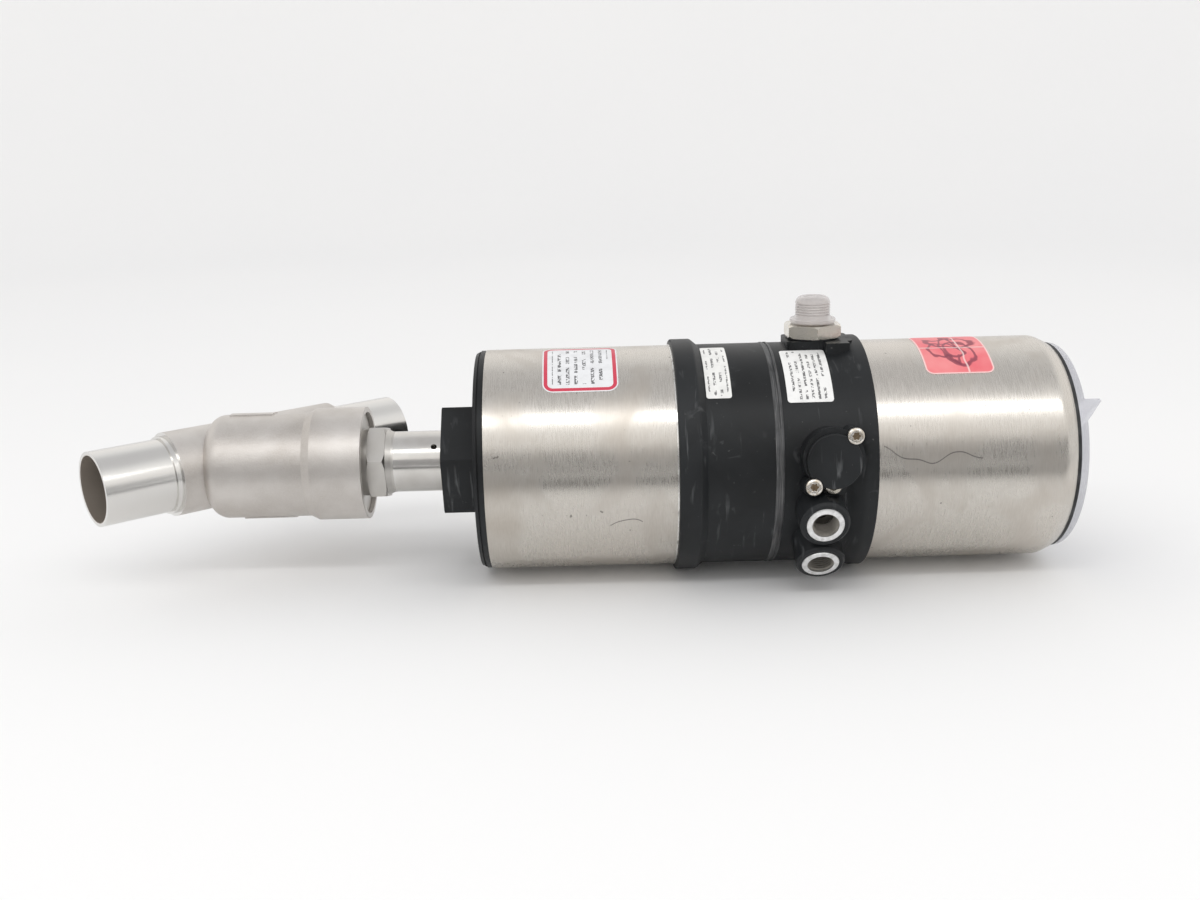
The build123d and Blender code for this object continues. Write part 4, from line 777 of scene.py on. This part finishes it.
cap_place = outward_place(mounts["m12_plug"], 0.0)
cap_low, cap_high = (corner / MM for corner in span("dust_cap", cap_place))
flange = (cap_high.x - cap_low.x) / 2
wall_inner = SLEEVE + CAP_GAP
wall_outer = wall_inner + CAP_WALL
foot = cap_low.z
top = cap_high.z
ring_count = int((top - foot - RINGS_FROM_FOOT - RINGS_FROM_TOP) / RING_PITCH)
rings = []
for number in range(ring_count):
    height = foot + RINGS_FROM_FOOT + RING_PITCH * number
    rings += [(wall_outer - RING_RISE, height), (wall_outer, height + RING_PITCH / 2)]
bm = bmesh.new()
lathe(bm, [
    (0, top - 0.5), (3.4, top - 0.5), (3.7, top - 0.15), (4.1, top), (4.9, top - 0.1),
    (5.6, top - 0.5), (6.2, top - 1.2), (wall_outer - 0.2, top - RINGS_FROM_TOP), *reversed(rings),
    (wall_outer, foot + 2.8), (wall_outer + 0.5, foot + 2.2), (flange - 0.4, foot + 1.9),
    (flange, foot + 1.5), (flange, foot + 0.5), (flange - 0.4, foot), (wall_inner, foot),
    (wall_inner, top - 2.2), (wall_inner - 0.8, top - 1.5), (0, top - 1.3),
])
bm.transform(cap_place)
new_piece("ringed_dust_cap", bm, milky, "dust_cap", ["dust_cap"])


# ---- what shows through the clear cap -----------------------------------------------------------
# A round circuit board under green lacquer carries the display and the four round keys, which
# stand in a black frame. The pilot valve block is grey plastic like the keys.

CELL_WIDTH = 4.0
CELL_GAP = 0.3
BARS_FROM = 0.3
BARS_TO = 0.72

mask_green, tree, shader, place = new_finish("solder_mask", (0.03, 0.16, 0.08), 0.35)
traces = add(tree, "ShaderNodeTexWave", {"Vector": place, "Scale": 160.0, "Distortion": 6.0,
                                         "Detail": 1.0}, bands_direction="Z").outputs[1]
join(tree, blend_colour(tree, spread(tree, traces, 0.55, 0.65), (0.02, 0.13, 0.06),
                        (0.05, 0.24, 0.11)), shader, "Base Color")
join(tree, relief(tree, traces, 0.00004), shader, "Normal")
paint(mask_green, "control_board")

display, tree, shader, place = new_finish("display_glass", (0.30, 0.36, 0.31), 0.12)
display_low, display_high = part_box("display_module")
parts = add(tree, "ShaderNodeSeparateXYZ", {0: place}).outputs
from_edge = calc(tree, "SUBTRACT", parts["Y"], display_low.y)
cell_y = calc(tree, "MODULO", calc(tree, "MULTIPLY", from_edge, 1 / (CELL_WIDTH * MM)), 1.0)
row_z = spread(tree, parts["Z"], display_low.z, display_high.z)
inside_row = calc(tree, "MULTIPLY", calc(tree, "GREATER_THAN", row_z, BARS_FROM),
                  calc(tree, "LESS_THAN", row_z, BARS_TO))
bar = calc(tree, "MULTIPLY", calc(tree, "GREATER_THAN", cell_y, CELL_GAP), inside_row)
tone = blend_colour(tree, grain(tree, place, 120), (0.33, 0.39, 0.34), (0.27, 0.33, 0.29))
join(tree, blend_colour(tree, calc(tree, "MULTIPLY", bar, 0.7), tone, (0.05, 0.06, 0.06)),
     shader, "Base Color")
paint(display, "display_module")

key_finish, tree, shader, place = new_finish("key_plastic", (0.30, 0.32, 0.34), 0.4)
touch = grain(tree, place, 500, 3.0)
join(tree, blend_colour(tree, touch, (0.34, 0.36, 0.38), (0.24, 0.255, 0.27)), shader,
     "Base Color")
join(tree, spread(tree, touch, 0.3, 0.7, 0.3, 0.5), shader, "Roughness")
paint(key_finish, "key_1", "key_2", "key_3", "key_4", "pilot_valve_block")


# ---- labels ----------------------------------------------------------------------------------
# Printed films and a creased sticker, wrapped round the shells. All print is blank lines of
# marks that say nothing. Each film is cut with round corners, then bent to the cylinder.

FILM = 0.15
FILM_ABOVE = 0.95
BEND_STEPS = 28
STICKER_CORNER = 3.0
WARNING_CORNER = 4.0
WHITE = (0.80, 0.81, 0.83)
WARNING_RED = (0.60, 0.045, 0.085)
INK = (0.05, 0.05, 0.055)
shell_radius = (shell_high.z - shell_low.z) / 2


def wrapped_film(name, node, corner):
    """A film the size of its CAD node, laid out flat, rounded, then bent round the axis."""
    low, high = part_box(node)
    first = math.atan2(low.z - axis_z, axis_y - low.y)
    last = math.acos(max(-1.0, min(1.0, (axis_y - high.y) / (shell_radius + FILM * MM))))
    bm = bmesh.new()
    across = (last - first) * shell_radius
    bmesh.ops.create_grid(bm, x_segments=1, y_segments=1, size=0.5)
    size = Vector((high.x - low.x, across, 1.0))
    bmesh.ops.scale(bm, vec=size, verts=bm.verts)
    bmesh.ops.bevel(bm, geom=bm.verts[:], offset=corner * MM, affect="VERTICES", segments=6,
                    profile=0.5, material=-1)
    for cut in range(1, BEND_STEPS):
        level = across * (cut / BEND_STEPS - 0.5)
        bmesh.ops.bisect_plane(bm, geom=bm.verts[:] + bm.edges[:] + bm.faces[:], dist=0.000001,
                               plane_co=(0, level, 0), plane_no=(0, 1, 0))
    bmesh.ops.triangulate(bm, faces=bm.faces)
    bottom = bm.faces[:]
    raised = bmesh.ops.extrude_face_region(bm, geom=bottom, use_keep_orig=True)["geom"]
    top = [item for item in raised if isinstance(item, bmesh.types.BMVert)]
    bmesh.ops.translate(bm, vec=(0, 0, FILM * FILM_ABOVE * MM), verts=top)
    middle_x = (low.x + high.x) / 2
    for vert in bm.verts:
        angle = (first + last) / 2 + vert.co.y / shell_radius
        radius = shell_radius + vert.co.z
        vert.co = Vector((middle_x + vert.co.x, axis_y - radius * math.cos(angle),
                          axis_z + radius * math.sin(angle)))
    centre = (middle_x / MM, (first + last) / 2 * shell_radius / MM)
    halves = ((high.x - low.x) / 2 / MM, across / 2 / MM)
    return new_piece(name, bm, None, "actuator", [node]), centre, halves


def new_group(name, inputs, outputs):
    """A shader group with number or vector inputs and number outputs."""
    group = bpy.data.node_groups.new(name, "ShaderNodeTree")
    for socket, kind in inputs:
        group.interface.new_socket(socket, in_out="INPUT", socket_type=kind)
    for socket in outputs:
        group.interface.new_socket(socket, in_out="OUTPUT", socket_type="NodeSocketFloat")
    return group, add(group, "NodeGroupInput").outputs, add(group, "NodeGroupOutput").inputs


NUMBER = "NodeSocketFloat"

# Where a point lies on the cylinder: along the axis and round it, both in mm.
around, given, result = new_group("around_axis", [("Place", "NodeSocketVector")],
                                  ["Along", "Round"])
parts = add(around, "ShaderNodeSeparateXYZ", {0: given["Place"]}).outputs
forward = calc(around, "SUBTRACT", axis_y, parts["Y"])
rise = calc(around, "SUBTRACT", parts["Z"], axis_z)
around.links.new(calc(around, "MULTIPLY", parts["X"], 1 / MM), result["Along"])
around.links.new(calc(around, "MULTIPLY", calc(around, "ARCTAN2", rise, forward),
                      shell_radius / MM), result["Round"])

# Distance from the edge of a rectangle with round corners: negative inside, in mm.
framed, given, result = new_group(
    "rounded_frame", [("Across", NUMBER), ("Up", NUMBER), ("Half Across", NUMBER),
                      ("Half Up", NUMBER), ("Corner", NUMBER)], ["Distance"])
sides = []
for value, half in (("Across", "Half Across"), ("Up", "Half Up")):
    reach = calc(framed, "SUBTRACT", calc(framed, "ABSOLUTE", given[value]), given[half])
    sides.append(calc(framed, "ADD", reach, given["Corner"]))
beyond = [calc(framed, "MAXIMUM", side, 0.0) for side in sides]
squares = [calc(framed, "MULTIPLY", side, side) for side in beyond]
corner_reach = calc(framed, "SQRT", calc(framed, "ADD", *squares))
inner = calc(framed, "MINIMUM", calc(framed, "MAXIMUM", *sides), 0.0)
framed.links.new(calc(framed, "SUBTRACT", calc(framed, "ADD", corner_reach, inner),
                      given["Corner"]), result["Distance"])

# Rows of marks that stand for small print and say nothing.
printed, given, result = new_group(
    "printed_rows", [("Across", NUMBER), ("Forward", NUMBER), ("Pitch", NUMBER),
                     ("Share", NUMBER), ("Seed", NUMBER)], ["Ink"])
row = calc(printed, "DIVIDE", given["Across"], given["Pitch"])
number = calc(printed, "FLOOR", row)
within = calc(printed, "ABSOLUTE", calc(printed, "SUBTRACT", calc(printed, "FRACT", row), 0.5))
band = calc(printed, "LESS_THAN", within, calc(printed, "MULTIPLY", given["Share"], 0.5))
seed = calc(printed, "ADD", calc(printed, "MULTIPLY", number, 7.31), given["Seed"])
strokes_at = add(printed, "ShaderNodeCombineXYZ", {
    0: calc(printed, "MULTIPLY", given["Forward"], 1.5), 1: seed,
    2: calc(printed, "MULTIPLY", given["Across"], 1.2)}).outputs[0]
words_at = add(printed, "ShaderNodeCombineXYZ", {
    0: calc(printed, "MULTIPLY", given["Forward"], 0.22), 1: seed}).outputs[0]
letters = calc(printed, "GREATER_THAN", grain(printed, strokes_at, 1.0, 1.0), 0.47)
words = calc(printed, "GREATER_THAN", grain(printed, words_at, 1.0, 0.0), 0.42)
printed.links.new(calc(printed, "MULTIPLY", band, calc(printed, "MULTIPLY", letters, words)),
                  result["Ink"])


def film_finish(name, colour, centre, halves, pitch, share, margin, border=None):
    """White film with printed rows, and a border if given: its start, end and colour."""
    made, tree, shader, place = new_finish(name, colour, 0.38)
    where = add(tree, "ShaderNodeGroup", {"Place": place}, node_tree=around)
    across = calc(tree, "SUBTRACT", where.outputs["Along"], centre[0])
    up_round = calc(tree, "SUBTRACT", where.outputs["Round"], centre[1])
    edge = add(tree, "ShaderNodeGroup", {
        "Across": across, "Up": up_round, "Half Across": halves[0], "Half Up": halves[1],
        "Corner": WARNING_CORNER}, node_tree=framed)
    rows = add(tree, "ShaderNodeGroup", {
        "Across": across, "Forward": up_round, "Pitch": pitch, "Share": share,
        "Seed": centre[0]}, node_tree=printed)
    distance = edge.outputs["Distance"]
    soil = grain(tree, place, 220, 4.0)
    tone = blend_colour(tree, spread(tree, soil, 0.45, 0.75), colour,
                        tuple(c * 0.86 for c in colour))
    ink = calc(tree, "MULTIPLY", rows.outputs["Ink"],
               calc(tree, "LESS_THAN", distance, -margin))
    tone = blend_colour(tree, calc(tree, "MULTIPLY", ink, 0.85), tone, INK)
    if border is not None:
        inside = calc(tree, "LESS_THAN", distance, -border[0])
        outside = calc(tree, "GREATER_THAN", distance, -border[1])
        tone = blend_colour(tree, calc(tree, "MULTIPLY", inside, outside), tone, border[2])
    join(tree, tone, shader, "Base Color")
    join(tree, spread(tree, soil, 0.3, 0.7, 0.32, 0.5), shader, "Roughness")
    join(tree, relief(tree, soil, 0.00002), shader, "Normal")
    return made


def labelled(name, node, corner, colour, pitch, share, margin, border=None):
    """A wrapped film in its own finish, with rows of that pitch inside that margin."""
    piece, centre, halves = wrapped_film(name, node, corner)
    piece.data.materials[0] = film_finish(f"{name}_film", colour, centre, halves, pitch, share,
                                          margin, border)


labelled("warning_film", "warning_label", WARNING_CORNER, WHITE, 3.1, 0.42, 3.6,
         border=(0.5, 1.9, WARNING_RED))
labelled("strip_film", "strip_label", 1.0, (0.84, 0.84, 0.82), 2.4, 0.4, 1.0)
labelled("rating_film", "rating_label", 1.2, (0.86, 0.86, 0.85), 2.3, 0.4, 1.2)

# The sticker's loops of ink: middle and half size of each, as shares of the sticker's own.
SCRIBBLE = ((-0.22, -0.12, 0.48, 0.34), (0.20, -0.20, 0.40, 0.52), (0.02, 0.28, 0.66, 0.30),
            (-0.05, 0.02, 0.26, 0.66))

sticker, centre, halves = wrapped_film("creased_sticker", "sticker", STICKER_CORNER)
sticker_film, tree, shader, place = new_finish("sticker_film", (0.80, 0.16, 0.18), 0.45)
where = add(tree, "ShaderNodeGroup", {"Place": place}, node_tree=around)
wobble = calc(tree, "MULTIPLY", calc(tree, "SUBTRACT", grain(tree, place, 130, 2.0), 0.5), 7.0)
across = calc(tree, "SUBTRACT", where.outputs["Along"], centre[0])
up_round = calc(tree, "SUBTRACT", where.outputs["Round"], centre[1])
other = grain(tree, place, (190, 90, 90), 2.0)
sway = calc(tree, "MULTIPLY", calc(tree, "SUBTRACT", other, 0.5), 8.0)
fade = grain(tree, place, 75, 3.0)
tone = blend_colour(tree, spread(tree, fade, 0.35, 0.65), (0.80, 0.14, 0.17),
                    (0.86, 0.27, 0.28))
for middle_x, middle_up, half_x, half_up in SCRIBBLE:
    apart = [calc(tree, "DIVIDE", calc(tree, "SUBTRACT", calc(tree, "ADD", value, shake),
                                       middle * half), part * half)
             for value, shake, middle, part, half in (
                 (across, wobble, middle_x, half_x, halves[0]),
                 (up_round, sway, middle_up, half_up, halves[1]))]
    loop = calc(tree, "SQRT", calc(tree, "ADD", calc(tree, "MULTIPLY", apart[0], apart[0]),
                                   calc(tree, "MULTIPLY", apart[1], apart[1])))
    off_loop = calc(tree, "ABSOLUTE", calc(tree, "SUBTRACT", loop, 1.0))
    tone = blend_colour(tree, spread(tree, off_loop, 0.08, 0.16, 0.85, 0.0), tone,
                        (0.22, 0.03, 0.06))
slight = calc(tree, "MULTIPLY", wobble, 0.25)
fold = calc(tree, "MINIMUM", calc(tree, "ABSOLUTE", calc(tree, "ADD", up_round, slight)),
            calc(tree, "ABSOLUTE", calc(tree, "ADD", across, calc(tree, "SUBTRACT", slight, 3.0))))
edge = add(tree, "ShaderNodeGroup", {
    "Across": across, "Up": up_round, "Half Across": halves[0], "Half Up": halves[1],
    "Corner": STICKER_CORNER}, node_tree=framed)
pale = calc(tree, "MAXIMUM", spread(tree, fold, 0.1, 0.45, 0.8, 0.0),
            spread(tree, edge.outputs["Distance"], -0.7, -0.35, 0.0, 0.85))
tone = blend_colour(tree, pale, tone, (0.93, 0.70, 0.68))
join(tree, tone, shader, "Base Color")
join(tree, spread(tree, fade, 0.3, 0.7, 0.35, 0.55), shader, "Roughness")
join(tree, relief(tree, spread(tree, fold, 0.0, 0.8), 0.0002), shader, "Normal")
sticker.data.materials[0] = sticker_film
